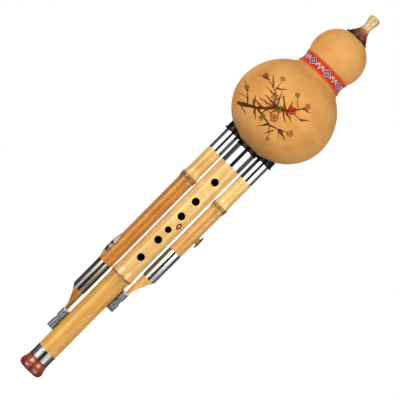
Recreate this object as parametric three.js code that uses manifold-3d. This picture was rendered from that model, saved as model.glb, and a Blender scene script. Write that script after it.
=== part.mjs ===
// Hulusi: a double-bulb gourd that stands on a finger-hole pipe and two drone pipes.
// Millimetres. +Z runs up the main pipe's axis from the tail's rim at z = 0 to the mouthpiece. The finger
// holes face -Y, the long drone stands on the -X side and the short one on the +X side.

import * as THREE from "three";
import { mergeVertices } from "three/addons/utils/BufferGeometryUtils.js";
import Module from "manifold-3d";

const wasm = await Module();
wasm.setup();

// Fits and cutting
const slideGap = 0.3; // radial gap between parts that slide in each other
const seatGap = 0.3; // gap under a piece that is shaped to a curved neighbour
const sleeveGap = 0.15; // radial gap of the thin lower sleeves on the bamboo
const rootGap = 0.1; // gap at the root of a reed tongue
const overrun = 1; // how far every cutting body runs past the face that it cuts

// Number of sides of the round parts
const pipeSides = 28;
const smallSides = 16;
const screwSides = 12;
const gourdSides = 32;
const arcSteps = 4;
const bulbSteps = 8;
const crownSteps = 5;
const filletSteps = 5;

// Tail bell
const bellHeight = 13;
const bellWaistRadius = 9.9;
const bellLipRadius = 11.65;
const bellLipHeight = 3.7;
const bellRimRadius = 9.2;
const bellMouthRadius = 7.4;
const bellSeatHeight = 4;
const bellFlareHeight = 9;
const bellFlareShare = 2;

// Tail ring
const tailRingLength = 10;
const tailRingRadius = 9.7;

// Main pipe, measured down from the shoulder that the ferrule rests on
const pipeLength = 220.2;
const pipeUpperRadius = 9.8;
const pipeLowerRadius = 9.6;
const pipeBoreRadius = 6.5;
const pipeTailTenonRadius = 8.7;
const pipeTenonRadius = 7.7;
const pipeTenonLength = 16;
const pipeNodeDrop = 131;
const pipeNodeRadius = 11;
const pipeNodeRise = 5;
const pipeNodeFall = 3.6;
const pipeNodeLand = 1.2;
const pipeNodeGroove = 0.35;
const fingerHoleRadius = 3.35;
const smallHoleRadius = 2.85;
const fingerHoleDrops = [19, 41.9, 59.2, 87, 107.7];
const smallHoleDrop = 75.1;
const thumbHoleDrop = 8.5;
const ventHoleDrop = 165;

// Drone pipes. Their tails are built up from the tail ring, and their bamboo reaches up to the shoulder.
const droneOffset = 18.3;
const droneBoreRadius = 3.9;
const droneTailBoreRadius = 2.7;
const droneTenonRadius = 4.7;
const droneTenonLength = 16;
const droneNodeDrop = 31.2;
const droneNodeRise = 6;
const droneNodeFall = 5;
const droneNodeLand = 2.4;
const droneNodeGroove = 0.3;
const sleeveWall = 0.4;
const bevelRise = 1.6;
const bevelTurnHeight = 14;
const tongueEdge = 2.7;
const tonguePegRadius = 1.8;
const tonguePegLength = 6;
const leftDrone = {
  side: -1,
  upperRadius: 6.65,
  lowerRadius: 6.8,
  nodeRadius: 8.05,
  sleeveRadius: 6.6,
  sleeveLength: 31.9,
  tongueLength: 19.2,
  clipLength: 20.8,
  clipRise: 15.6,
};
const rightDrone = {
  side: 1,
  upperRadius: 6.45,
  lowerRadius: 6.35,
  nodeRadius: 7.6,
  sleeveRadius: 6.4,
  sleeveLength: 32.2,
  tongueLength: 21.3,
  clipLength: 20.6,
  clipRise: 61.3,
};

// Tail clips, which hold the drones' tails on the main pipe, and their screws
const clipOffset = 12.75;
const clipRadius = 3.65;
const clipEdge = 0.4;
const clipWaistDepth = 0.7;
const clipWaistHalfHeight = 2.6;
const clipSocketOffset = 13.45;
const clipSocketDepth = 7;
const screwHeadRadius = 1.4;
const screwHeadHeight = 0.8;
const screwShankRadius = 0.8;
const screwBite = 2.2;

// Corks on the pipe tenons
const corkLength = 12;
const pipeCorkRadius = 8.7;
const droneCorkRadius = 5.6;

// Upper ferrules, which stand in the collar and take the corked tenons
const pipeFerruleRadius = 9.85;
const pipeFerruleLength = 19;
const pipeFerruleNeckRadius = 8.6;
const pipeFerruleNeckLength = 7.6;
const droneFerruleRadius = 6.5;
const droneFerruleNeckRadius = 5.4;
const droneFerruleNeckLength = 9;
const ferruleSeatDepth = 16.8;

// Socket collar under the gourd
const bossLipRadius = 10.5;
const bossRadius = 10.1;
const lobeRise = 2.2;
const lobeLipRadius = 8.35;
const lobeRadius = 7.65;
const lipHeight = 1.6;
const webRise = 3;
const webHalfWidth = 4.5;
const spigotWall = 0.9;
const pipeSpigotLength = 8.8;
const droneSpigotLength = 12.2;

// Gourd
const gourdRise = 3.2;
const gourdLowerRadius = 45.95;
const gourdLowerDepth = 41.8;
const gourdUpperRadius = 24.9;
const bulbSpacing = 65.5;
const waistFilletRadius = 12;
const gourdWall = 3;
const innerDetailShare = 0.6;
const neckHoleRadius = 5.3;

// Waist ribbon
const ribbonWidth = 10;
const ribbonThickness = 0.7;
const ribbonLift = 0.4;

// Neck ring under the mouthpiece
const neckRingRadius = 11;
const neckRingTopRadius = 8.7;
const neckRingWidestHeight = 24.7;
const neckRingHeight = 26.9;

// Mouthpiece, measured up from the neck ring's top
const mouthpieceHeight = 20.4;
const mouthpieceFootRadius = 8.2;
const mouthpieceNarrowRadius = 3.9;
const mouthpieceNarrowHeight = 10.9;
const mouthpieceLipRadius = 5.3;
const mouthpieceLipHeight = 17.4;
const mouthpieceTopRadius = 3.6;
const mouthpieceBoreRadius = 2.4;
const mouthpieceTenonRadius = 3.9;
const mouthpieceTenonLength = 13;
const mouthpieceFlareShare = 2.2;
const mouthpieceCorkRadius = 5;
const mouthpieceCorkLength = 7;
const mouthpieceCorkDrop = 3;

// Drone stoppers, measured up from the tops of the lower sleeves
const rightStopperRise = 19.8;
const rightStopperStemRadius = 2.9;
const rightStopperPinRadius = 1.8;
const rightStopperReach = 9.5;
const rightStopperHeadRadius = 5.85;
const rightStopperHeadThickness = 1.3;
const leftStopperRise = 14.5;
const leftCapReach = 8.8;
const leftCapDepth = 3.5;
const leftCapHalfWidth = 5;
const leftCapHalfHeight = 14.9;
const leftPegReach = 8;
const leftUpperPegRadius = 1.3;
const leftUpperPegRise = 2.2;
const leftLowerPegRadius = 1.7;
const leftLowerPegRise = -4.4;

// Reed units on the pipe tops, inside the gourd
const reedRootRise = 17;
const mainReed = {
  flangeRadius: 7,
  tubeRadius: 6.2,
  tubeBoreRadius: 4.4,
  plugLength: 8,
  flangeHeight: 1.5,
  height: 43,
  flatDistance: 5.3,
  plateWidth: 6,
  plateLength: 22,
  plateThickness: 0.6,
  plateEdge: 2.6,
  tongueLength: 15,
  tongueRootWidth: 2.4,
  tongueTipWidth: 1.2,
  tongueThickness: 0.25,
};
const droneReed = {
  flangeRadius: 4.2,
  tubeRadius: 4,
  tubeBoreRadius: 2.4,
  plugLength: 8,
  flangeHeight: 1.5,
  height: 41,
  flatDistance: 3.2,
  plateWidth: 3.8,
  plateLength: 18,
  plateThickness: 0.5,
  plateEdge: 2.2,
  tongueLength: 12,
  tongueRootWidth: 1.6,
  tongueTipWidth: 0.9,
  tongueThickness: 0.2,
};

// Heights that follow from the lengths
const ringTop = bellHeight + tailRingLength;
const shoulder = ringTop + pipeLength;
const bossFoot = shoulder + pipeFerruleLength;
const lobeFoot = bossFoot + lobeRise;
const gourdFoot = bossFoot + gourdRise;
const lowerCentre = gourdFoot + gourdLowerDepth;
const upperCentre = lowerCentre + bulbSpacing;
const neckRingTop = upperCentre + neckRingHeight;
const tenonTop = shoulder + pipeTenonLength;
const droneTenonTop = shoulder + droneTenonLength;
const droneFerruleLength = lobeFoot - shoulder;

// Colours and finishes
const finishes = {
  bamboo: { color: 0xdca95c, roughness: 0.45, metalness: 0 },
  darkBamboo: { color: 0xc98a45, roughness: 0.45, metalness: 0 },
  gourdSkin: { color: 0xd59c58, roughness: 0.6, metalness: 0 },
  steel: { color: 0xd8d8dc, roughness: 0.18, metalness: 1 },
  castMetal: { color: 0x8c8f96, roughness: 0.6, metalness: 0.7 },
  blackResin: { color: 0x16130f, roughness: 0.3, metalness: 0 },
  redWood: { color: 0x7c2b1f, roughness: 0.25, metalness: 0 },
  amber: { color: 0xd9a552, roughness: 0.2, metalness: 0 },
  ribbon: { color: 0xc23c26, roughness: 0.85, metalness: 0 },
  cork: { color: 0xb98a55, roughness: 0.9, metalness: 0 },
  brass: { color: 0xc8a24a, roughness: 0.3, metalness: 1 },
  darkWood: { color: 0x4a2c1a, roughness: 0.5, metalness: 0 },
  paleResin: { color: 0xc9c6c0, roughness: 0.3, metalness: 0 },
};

// Geometry helpers

// A body of revolution about Z from [radius, height] points that close on themselves or end on the axis.
function turned(points, sides) {
  const outline = points.map(([radius, height]) => new THREE.Vector2(radius, height));
  return new THREE.LatheGeometry(outline, sides).rotateX(Math.PI / 2);
}

// A body of revolution whose outline is closed back to its first point.
function turnedRing(points, sides) {
  return turned([...points, points[0]], sides);
}

// A plain tube between two heights.
function tube(innerRadius, outerRadius, foot, top, sides) {
  return turnedRing(
    [
      [outerRadius, foot],
      [outerRadius, top],
      [innerRadius, top],
      [innerRadius, foot],
    ],
    sides,
  );
}

// A plain round bar along Z between two heights.
function bar(radius, foot, top, sides) {
  return turned(
    [
      [0, foot],
      [radius, foot],
      [radius, top],
      [0, top],
    ],
    sides,
  );
}

// A block between two corners.
function block(low, high) {
  const size = low.map((value, axis) => high[axis] - value);
  const centre = low.map((value, axis) => (high[axis] + value) / 2);
  return new THREE.BoxGeometry(...size).translate(...centre);
}

// Points of an elliptical arc from one angle to another, in degrees from the +radius direction.
function arc(centreRadius, centreHeight, reach, rise, from, to, steps) {
  return Array.from({ length: steps + 1 }, (_, step) => {
    const angle = THREE.MathUtils.degToRad(from + ((to - from) * step) / steps);
    return [centreRadius + reach * Math.cos(angle), centreHeight + rise * Math.sin(angle)];
  });
}

// A flare that leaves the foot radius and eases into the top radius with the power flareShare.
function flare(footRadius, foot, topRadius, top, flareShare, steps) {
  return Array.from({ length: steps + 1 }, (_, step) => {
    const share = step / steps;
    return [
      topRadius + (footRadius - topRadius) * (1 - share) ** flareShare,
      foot + (top - foot) * share,
    ];
  });
}

// A swell that leaves and meets both radii level with the axis.
function swell(footRadius, foot, topRadius, top, steps) {
  return Array.from({ length: steps + 1 }, (_, step) => {
    const share = step / steps;
    return [
      footRadius + (topRadius - footRadius) * THREE.MathUtils.smoothstep(share, 0, 1),
      foot + (top - foot) * share,
    ];
  });
}

// A closed mesh as a solid that can be joined and cut.
function solidOf(geometry) {
  const plain = geometry.clone();
  plain.deleteAttribute("normal");
  plain.deleteAttribute("uv");
  const merged = mergeVertices(plain);
  const mesh = new wasm.Mesh({
    numProp: 3,
    vertProperties: merged.getAttribute("position").array,
    triVerts: new Uint32Array(merged.index.array),
  });
  return new wasm.Manifold(mesh);
}

// A solid as a flat-shaded mesh.
function geometryOf(solid) {
  const { vertProperties, triVerts } = solid.getMesh();
  const indexed = new THREE.BufferGeometry();
  indexed.setAttribute("position", new THREE.BufferAttribute(vertProperties, 3));
  indexed.setIndex(new THREE.BufferAttribute(triVerts, 1));
  const flat = indexed.toNonIndexed();
  flat.computeVertexNormals();
  return flat;
}

function joined(geometries) {
  return geometryOf(geometries.map(solidOf).reduce((whole, next) => whole.add(next)));
}

function cut(geometry, tools) {
  return geometryOf(tools.map(solidOf).reduce((left, tool) => left.subtract(tool), solidOf(geometry)));
}

const hulusi = new THREE.Group();

// Adds a named piece with its own material, its local axis shifted along X.
function add(name, geometry, finish, x = 0) {
  const material = new THREE.MeshStandardMaterial(finishes[finish]);
  const mesh = new THREE.Mesh(geometry, material);
  mesh.name = name;
  mesh.position.x = x;
  hulusi.add(mesh);
}

// Bamboo wall outline up past one node: a ridge with a fine groove, swelling in from both sides.
function bambooWall(foot, top, lowerRadius, upperRadius, node) {
  return [
    [lowerRadius, foot],
    [lowerRadius, node.height - node.fall],
    [node.radius, node.height - node.land],
    [node.radius, node.height - node.groove],
    [node.radius - node.groove, node.height],
    [node.radius, node.height + node.groove],
    [node.radius, node.height + node.land],
    [upperRadius, node.height + node.rise],
    [upperRadius, top],
  ];
}

// A round hole through one wall of a pipe, square to its axis, on the side that direction points to.
function wallHole(radius, height, direction, reach) {
  const hole = new THREE.CylinderGeometry(radius, radius, reach, smallSides);
  hole.rotateZ(Math.PI / 2);
  hole.translate(reach / 2, 0, 0);
  hole.rotateZ(Math.atan2(direction[1], direction[0]));
  return hole.translate(0, 0, height);
}

// Tail end

function tailBell() {
  const flareTop = bellLipHeight + bellFlareHeight;
  const outline = [
    [bellMouthRadius, 0],
    ...arc(bellRimRadius, bellLipHeight, bellLipRadius - bellRimRadius, bellLipHeight, -90, 0, arcSteps),
    ...flare(bellLipRadius, bellLipHeight, bellWaistRadius, flareTop, bellFlareShare, arcSteps).slice(1),
    [bellWaistRadius, bellHeight],
    [pipeTailTenonRadius + slideGap, bellHeight],
    [pipeTailTenonRadius + slideGap, bellSeatHeight],
    [pipeBoreRadius, bellSeatHeight],
  ];
  add("tail_bell", turnedRing(outline, pipeSides), "redWood");
}

function tailRing() {
  const ring = tube(pipeTailTenonRadius + slideGap, tailRingRadius, bellHeight, ringTop, pipeSides);
  add("tail_ring", ring, "steel");
}

// Main pipe

function screwHole(side, height) {
  const reach = droneOffset;
  const deep = pipeLowerRadius - screwBite - slideGap;
  const hole = wallHole(screwShankRadius + slideGap, height, [side, 0], reach);
  return hole.translate(side * deep, 0, 0);
}

function mainPipe() {
  const node = {
    height: shoulder - pipeNodeDrop,
    radius: pipeNodeRadius,
    rise: pipeNodeRise,
    fall: pipeNodeFall,
    land: pipeNodeLand,
    groove: pipeNodeGroove,
  };
  const body = turnedRing(
    [
      [pipeBoreRadius, bellSeatHeight],
      [pipeTailTenonRadius, bellSeatHeight],
      [pipeTailTenonRadius, ringTop],
      ...bambooWall(ringTop, shoulder, pipeLowerRadius, pipeUpperRadius, node),
      [pipeTenonRadius, shoulder],
      [pipeTenonRadius, tenonTop],
      [pipeBoreRadius, tenonTop],
    ],
    pipeSides,
  );
  const front = [0, -1];
  const back = [0, 1];
  const reach = pipeNodeRadius + overrun;
  const holes = fingerHoleDrops.map((drop) => wallHole(fingerHoleRadius, shoulder - drop, front, reach));
  holes.push(wallHole(smallHoleRadius, shoulder - smallHoleDrop, front, reach));
  holes.push(wallHole(fingerHoleRadius, shoulder - thumbHoleDrop, back, reach));
  holes.push(wallHole(smallHoleRadius, shoulder - ventHoleDrop, back, reach));
  const screws = [leftDrone, rightDrone].map((drone) => screwHole(drone.side, clipMiddle(drone)));
  add("main_pipe", cut(body, [...holes, ...screws]), "bamboo");
}

// Drone pipes, each about its own axis

function clipTop(drone) {
  return ringTop + drone.clipRise + drone.clipLength;
}

function sleeveFoot(drone) {
  return clipTop(drone) + drone.tongueLength;
}

function sleeveTop(drone) {
  return sleeveFoot(drone) + drone.sleeveLength;
}

function clipMiddle(drone) {
  return clipTop(drone) - drone.clipLength / 2;
}

// The slanting cut that turns a drone's tail into a tongue: straight down from the outer wall, then
// easing into the tongue's outer edge.
function tailBevel(drone) {
  const start = sleeveFoot(drone) + bevelRise;
  const far = drone.sleeveRadius + overrun;
  const low = clipTop(drone) - tonguePegLength - overrun;
  const outline = new THREE.Shape();
  outline.moveTo(far, start + overrun);
  outline.lineTo(drone.sleeveRadius, start);
  outline.quadraticCurveTo(-tongueEdge, start - bevelTurnHeight, -tongueEdge, clipTop(drone));
  outline.lineTo(-tongueEdge, low);
  outline.lineTo(far, low);
  const depth = 2 * far;
  const settings = { depth, bevelEnabled: false, curveSegments: arcSteps };
  const cutter = new THREE.ExtrudeGeometry(outline, settings);
  cutter.translate(0, 0, -depth / 2);
  cutter.rotateX(Math.PI / 2);
  return drone.side > 0 ? cutter : cutter.rotateZ(Math.PI);
}

// Everything round the peg that the clip's socket takes.
function pegTrim(drone) {
  const reach = 2 * droneOffset;
  const low = clipTop(drone) - tonguePegLength - overrun;
  const trim = tube(tonguePegRadius, reach, low, clipTop(drone) + seatGap, smallSides);
  return trim.translate(drone.side * (clipSocketOffset - droneOffset), 0, 0);
}

const rightStopperHeight = sleeveTop(rightDrone) + rightStopperRise;
const leftStopperHeight = sleeveTop(leftDrone) + leftStopperRise;
const leftUpperPegHeight = leftStopperHeight + leftUpperPegRise;
const leftLowerPegHeight = leftStopperHeight + leftLowerPegRise;

function dronePipe(name, drone, finish) {
  const tailRadius = drone.sleeveRadius - sleeveWall - sleeveGap;
  const node = {
    height: shoulder - droneNodeDrop,
    radius: drone.nodeRadius,
    rise: droneNodeRise,
    fall: droneNodeFall,
    land: droneNodeLand,
    groove: droneNodeGroove,
  };
  const septum = sleeveTop(drone) - drone.sleeveLength / 2;
  const foot = clipTop(drone) - tonguePegLength;
  const body = turnedRing(
    [
      [droneTailBoreRadius, foot],
      [tailRadius, foot],
      [tailRadius, sleeveTop(drone)],
      ...bambooWall(sleeveTop(drone), shoulder, drone.lowerRadius, drone.upperRadius, node),
      [droneTenonRadius, shoulder],
      [droneTenonRadius, droneTenonTop],
      [droneBoreRadius, droneTenonTop],
      [droneBoreRadius, septum],
      [droneTailBoreRadius, septum],
    ],
    pipeSides,
  );
  const outward = [drone.side, 0];
  const reach = drone.nodeRadius + overrun;
  const holes =
    drone.side > 0
      ? [[rightStopperStemRadius, rightStopperHeight]]
      : [
          [leftUpperPegRadius, leftUpperPegHeight],
          [leftLowerPegRadius, leftLowerPegHeight],
        ];
  const drills = holes.map(([radius, height]) => wallHole(radius + slideGap, height, outward, reach));
  add(name, cut(body, [tailBevel(drone), pegTrim(drone), ...drills]), finish, drone.side * droneOffset);
}

function lowerSleeve(name, drone) {
  const inner = drone.sleeveRadius - sleeveWall;
  const sleeve = tube(inner, drone.sleeveRadius, sleeveFoot(drone), sleeveTop(drone), pipeSides);
  add(name, cut(sleeve, [tailBevel(drone)]), "steel", drone.side * droneOffset);
}

// Tail clips and their screws

// The floor of the screw head's pocket, as a distance from the main pipe's axis.
const screwSeat = clipOffset + clipRadius - clipWaistDepth - screwHeadHeight;

function tailClip(name, drone) {
  const top = clipTop(drone);
  const foot = top - drone.clipLength;
  const middle = clipMiddle(drone);
  const body = turned(
    [
      [0, foot],
      [clipRadius - clipEdge, foot],
      [clipRadius, foot + clipEdge],
      [clipRadius, middle - clipWaistHalfHeight],
      [clipRadius - clipWaistDepth, middle],
      [clipRadius, middle + clipWaistHalfHeight],
      [clipRadius, top - clipEdge],
      [clipRadius - clipEdge, top],
      [0, top],
    ],
    smallSides,
  );
  const socketShift = drone.side * (clipSocketOffset - clipOffset);
  const socket = bar(tonguePegRadius + slideGap, top - clipSocketDepth, top + overrun, smallSides);
  socket.translate(socketShift, 0, 0);
  const saddle = bar(pipeLowerRadius + seatGap, foot - overrun, top + overrun, pipeSides);
  saddle.translate(-drone.side * clipOffset, 0, 0);
  const screwWay = wallHole(screwShankRadius + slideGap, middle, [-drone.side, 0], clipOffset);
  screwWay.translate(drone.side * clipRadius, 0, 0);
  const pocket = wallHole(screwHeadRadius + slideGap, middle, [drone.side, 0], clipRadius);
  pocket.translate(drone.side * (screwSeat - clipOffset), 0, 0);
  add(name, cut(body, [socket, saddle, screwWay, pocket]), "castMetal", drone.side * clipOffset);
}

function clipScrew(name, drone) {
  const tip = pipeLowerRadius - screwBite;
  const shank = screwSeat - tip;
  const screw = turned(
    [
      [0, 0],
      [screwShankRadius, 0],
      [screwShankRadius, shank],
      [screwHeadRadius, shank],
      ...arc(0, shank, screwHeadRadius, screwHeadHeight, 0, 90, arcSteps).slice(1),
    ],
    screwSides,
  );
  screw.rotateY((drone.side * Math.PI) / 2);
  screw.translate(drone.side * tip, 0, clipMiddle(drone));
  add(name, screw, "castMetal");
}

// Corks and ferrules

function tenonCork(name, tenonRadius, corkRadius, x) {
  const cork = tube(tenonRadius + slideGap, corkRadius, shoulder, shoulder + corkLength, pipeSides);
  add(name, cork, "cork", x);
}

function upperFerrule(name, size, x) {
  const top = shoulder + size.length;
  const ferrule = turnedRing(
    [
      [size.corkRadius + slideGap, shoulder],
      [size.radius, shoulder],
      [size.radius, top],
      [size.neckRadius, top],
      [size.neckRadius, top + size.neckLength],
      [size.flangeRadius + slideGap, top + size.neckLength],
      [size.flangeRadius + slideGap, shoulder + ferruleSeatDepth],
      [size.corkRadius + slideGap, shoulder + ferruleSeatDepth],
    ],
    pipeSides,
  );
  add(name, ferrule, "steel", x);
}

const pipeFerrule = {
  radius: pipeFerruleRadius,
  length: pipeFerruleLength,
  neckRadius: pipeFerruleNeckRadius,
  neckLength: pipeFerruleNeckLength,
  corkRadius: pipeCorkRadius,
  flangeRadius: mainReed.flangeRadius,
};
const droneFerrule = {
  radius: droneFerruleRadius,
  length: droneFerruleLength,
  neckRadius: droneFerruleNeckRadius,
  neckLength: droneFerruleNeckLength,
  corkRadius: droneCorkRadius,
  flangeRadius: droneReed.flangeRadius,
};

// Gourd

// The waist's fillet circle touches both bulbs from outside: its centre and its two touching angles.
const filletToLower = gourdLowerRadius + waistFilletRadius;
const filletToUpper = gourdUpperRadius + waistFilletRadius;
const filletRise = (filletToLower ** 2 - filletToUpper ** 2 + bulbSpacing ** 2) / (2 * bulbSpacing);
const filletRadius = Math.sqrt(filletToLower ** 2 - filletRise ** 2);
const lowerTouch = THREE.MathUtils.radToDeg(Math.atan2(filletRise, filletRadius));
const upperTouch = THREE.MathUtils.radToDeg(Math.atan2(filletRise - bulbSpacing, filletRadius));
const filletCentre = lowerCentre + filletRise;

// Points of the waist's fillet, or of a circle about the same centre.
function waistArc(radius, from, to, steps) {
  return arc(filletRadius, filletCentre, radius, radius, from, to, steps);
}

// The gourd's outline from the bottom pole up to the neck hole, moved outwards by offset.
function gourdOutline(offset, topRadius, detailShare) {
  const steps = (count) => Math.ceil(count * detailShare);
  const lower = gourdLowerRadius + offset;
  const upper = gourdUpperRadius + offset;
  const fillet = waistFilletRadius - offset;
  const topAngle = THREE.MathUtils.radToDeg(Math.acos(topRadius / upper));
  return [
    ...arc(0, lowerCentre, lower, gourdLowerDepth + offset, -90, 0, steps(bulbSteps)),
    ...arc(0, lowerCentre, lower, lower, 0, lowerTouch, steps(crownSteps)).slice(1),
    ...waistArc(fillet, lowerTouch - 180, upperTouch - 180, filletSteps).slice(1),
    ...arc(0, upperCentre, upper, upper, upperTouch, topAngle, steps(bulbSteps)).slice(1),
  ];
}

// Everything inside the gourd's skin, seatGap larger, for shaping the pieces that sit on it.
function gourdEnvelope() {
  const outline = gourdOutline(seatGap, neckHoleRadius, 1);
  const top = outline[outline.length - 1];
  return turned([...outline, [0, top[1]]], gourdSides);
}

function socketRadius(neckRadius) {
  return neckRadius + slideGap;
}

function gourd() {
  const outer = gourdOutline(0, neckHoleRadius, 1);
  const inner = gourdOutline(-gourdWall, neckHoleRadius, innerDetailShare);
  const shell = turned([...outer, ...inner.reverse()], gourdSides);
  const top = lowerCentre;
  const foot = gourdFoot - overrun;
  const pipeHole = socketRadius(pipeFerruleNeckRadius) + spigotWall + slideGap;
  const droneHole = socketRadius(droneFerruleNeckRadius) + spigotWall + slideGap;
  const holes = [bar(pipeHole, foot, top, pipeSides), ...onBothSides(bar(droneHole, foot, top, pipeSides))];
  add("gourd", cut(shell, holes), "gourdSkin");
}

// The ribbon follows the gourd's waist between two heights.
function waistRibbon() {
  const half = ribbonWidth / 2;
  const wall = (offset) => {
    const fillet = waistFilletRadius - offset;
    const angle = (rise) => THREE.MathUtils.radToDeg(Math.asin((ribbonLift + rise) / fillet));
    return waistArc(fillet, 180 - angle(-half), 180 - angle(half), arcSteps);
  };
  const outer = wall(seatGap + ribbonThickness);
  const inner = wall(seatGap);
  add("waist_ribbon", turnedRing([...outer, ...inner.reverse()], gourdSides), "ribbon");
}

// Copies of a shape about the main axis, moved to both drones' axes.
function onBothSides(geometry) {
  return [-1, 1].map((side) => geometry.clone().translate(side * droneOffset, 0, 0));
}

// Socket collar: a centre boss and two side lobes joined by a web, shaped to the gourd, with a spigot on
// each socket that passes through the gourd's wall.
function socketCollar() {
  const boss = joined([
    bar(bossLipRadius, bossFoot, bossFoot + lipHeight, pipeSides),
    bar(bossRadius, bossFoot, lowerCentre, pipeSides),
  ]);
  const lobe = joined([
    bar(lobeLipRadius, lobeFoot, lobeFoot + lipHeight, pipeSides),
    bar(lobeRadius, lobeFoot, lowerCentre, pipeSides),
  ]);
  const webLow = [-droneOffset, -webHalfWidth, bossFoot + webRise];
  const webHigh = [droneOffset, webHalfWidth, lowerCentre];
  const web = block(webLow, webHigh);
  const lobes = onBothSides(lobe);
  const outside = cut(joined([boss, ...lobes, web]), [gourdEnvelope()]);
  const pipeSocket = socketRadius(pipeFerruleNeckRadius);
  const droneSocket = socketRadius(droneFerruleNeckRadius);
  const pipeSpigotTop = bossFoot + pipeSpigotLength;
  const droneSpigotTop = lobeFoot + droneSpigotLength;
  const pipeSpigot = bar(pipeSocket + spigotWall, bossFoot + lipHeight, pipeSpigotTop, pipeSides);
  const droneSpigot = bar(droneSocket + spigotWall, lobeFoot + lipHeight, droneSpigotTop, pipeSides);
  const pipeBore = bar(pipeSocket, bossFoot - overrun, pipeSpigotTop + overrun, pipeSides);
  const droneBore = bar(droneSocket, lobeFoot - overrun, droneSpigotTop + overrun, pipeSides);
  const whole = joined([outside, pipeSpigot, ...onBothSides(droneSpigot)]);
  add("socket_collar", cut(whole, [pipeBore, ...onBothSides(droneBore)]), "blackResin");
}

// Neck ring and mouthpiece

function neckRing() {
  const foot = upperCentre;
  const ring = turnedRing(
    [
      [neckHoleRadius, foot],
      [neckRingRadius, foot],
      [neckRingRadius, upperCentre + neckRingWidestHeight],
      [neckRingTopRadius, neckRingTop],
      [neckHoleRadius, neckRingTop],
    ],
    gourdSides,
  );
  add("neck_ring", cut(ring, [gourdEnvelope()]), "blackResin");
}

function mouthpiece() {
  const narrow = neckRingTop + mouthpieceNarrowHeight;
  const lip = neckRingTop + mouthpieceLipHeight;
  const top = neckRingTop + mouthpieceHeight;
  const tenonFoot = neckRingTop - mouthpieceTenonLength;
  const roundReach = mouthpieceLipRadius - mouthpieceTopRadius;
  const base = flare(
    mouthpieceFootRadius,
    neckRingTop,
    mouthpieceNarrowRadius,
    narrow,
    mouthpieceFlareShare,
    crownSteps,
  );
  const outline = [
    [mouthpieceBoreRadius, tenonFoot],
    [mouthpieceTenonRadius, tenonFoot],
    [mouthpieceTenonRadius, neckRingTop],
    ...base,
    ...swell(mouthpieceNarrowRadius, narrow, mouthpieceLipRadius, lip, arcSteps).slice(1),
    ...arc(mouthpieceTopRadius, lip, roundReach, top - lip, 0, 90, arcSteps).slice(1),
    [mouthpieceBoreRadius, top],
  ];
  add("mouthpiece", turnedRing(outline, pipeSides), "amber");
}

function mouthpieceCork() {
  const top = neckRingTop - mouthpieceCorkDrop;
  const cork = tube(
    mouthpieceTenonRadius + slideGap,
    mouthpieceCorkRadius,
    top - mouthpieceCorkLength,
    top,
    smallSides,
  );
  add("mouthpiece_cork", cork, "cork");
}

// Drone stoppers

// A stopper part turned about the outward X direction at a height, from distances off the drone's axis.
function sidePlug(points, side, height) {
  const plug = turned(points, smallSides);
  plug.rotateY((side * Math.PI) / 2);
  return plug.translate(side * droneOffset, 0, height);
}

function rightStopper() {
  const headFoot = rightStopperReach - rightStopperHeadThickness;
  const stem = sidePlug(
    [
      [0, droneBoreRadius],
      [rightStopperStemRadius, droneBoreRadius],
      [rightStopperStemRadius, headFoot],
      [rightStopperPinRadius, headFoot],
      [rightStopperPinRadius, rightStopperReach],
      [0, rightStopperReach],
    ],
    1,
    rightStopperHeight,
  );
  add("right_stopper_stem", stem, "bamboo");
  const hole = rightStopperPinRadius + slideGap;
  const headOutline = [
    [hole, headFoot],
    [rightStopperHeadRadius, headFoot],
    [rightStopperHeadRadius, rightStopperReach],
    [hole, rightStopperReach],
  ];
  const head = sidePlug([...headOutline, headOutline[0]], 1, rightStopperHeight);
  add("right_stopper_head", head, "darkWood");
}

function leftPegOutline(radius, start) {
  return [
    [0, start],
    [radius, start],
    [radius, leftPegReach],
    [0, leftPegReach],
  ];
}

function leftStopper() {
  const cap = new THREE.SphereGeometry(1, smallSides, smallSides);
  cap.rotateX(Math.PI / 2);
  cap.scale(leftCapDepth, leftCapHalfWidth, leftCapHalfHeight);
  cap.translate(leftCapDepth - leftCapReach - droneOffset, 0, leftStopperHeight);
  const pipeRadius = leftDrone.lowerRadius + seatGap;
  const low = leftStopperHeight - leftCapHalfHeight - overrun;
  const high = leftStopperHeight + leftCapHalfHeight + overrun;
  const pipe = bar(pipeRadius, low, high, pipeSides).translate(-droneOffset, 0, 0);
  const sockets = [
    [leftUpperPegRadius, leftUpperPegHeight],
    [leftLowerPegRadius, leftLowerPegHeight],
  ].map(([radius, height]) => sidePlug(leftPegOutline(radius + slideGap, 0), -1, height));
  add("left_stopper_cap", cut(cap, [pipe, ...sockets]), "paleResin");
  const upperPeg = sidePlug(leftPegOutline(leftUpperPegRadius, droneBoreRadius), -1, leftUpperPegHeight);
  const lowerPeg = sidePlug(leftPegOutline(leftLowerPegRadius, droneBoreRadius), -1, leftLowerPegHeight);
  add("left_stopper_upper_peg", upperPeg, "darkWood");
  add("left_stopper_lower_peg", lowerPeg, "darkWood");
}

// Reed units: a closed tube with a flat on its front, a slotted plate on the flat and a tongue in the slot

// A tapered bar outline along the reed, from its root up to its tip, grown by gap on every side.
function tongueSlab(reed, gap, near, far, foot) {
  const root = reed.tongueRootWidth / 2 + gap;
  const tip = reed.tongueTipWidth / 2 + gap;
  const outline = new THREE.Shape();
  outline.moveTo(-root, foot);
  outline.lineTo(root, foot);
  outline.lineTo(tip, foot + reed.tongueLength + gap);
  outline.lineTo(-tip, foot + reed.tongueLength + gap);
  const slab = new THREE.ExtrudeGeometry(outline, { depth: far - near, bevelEnabled: false });
  slab.rotateX(Math.PI / 2);
  return slab.translate(0, -near, 0);
}

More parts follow.
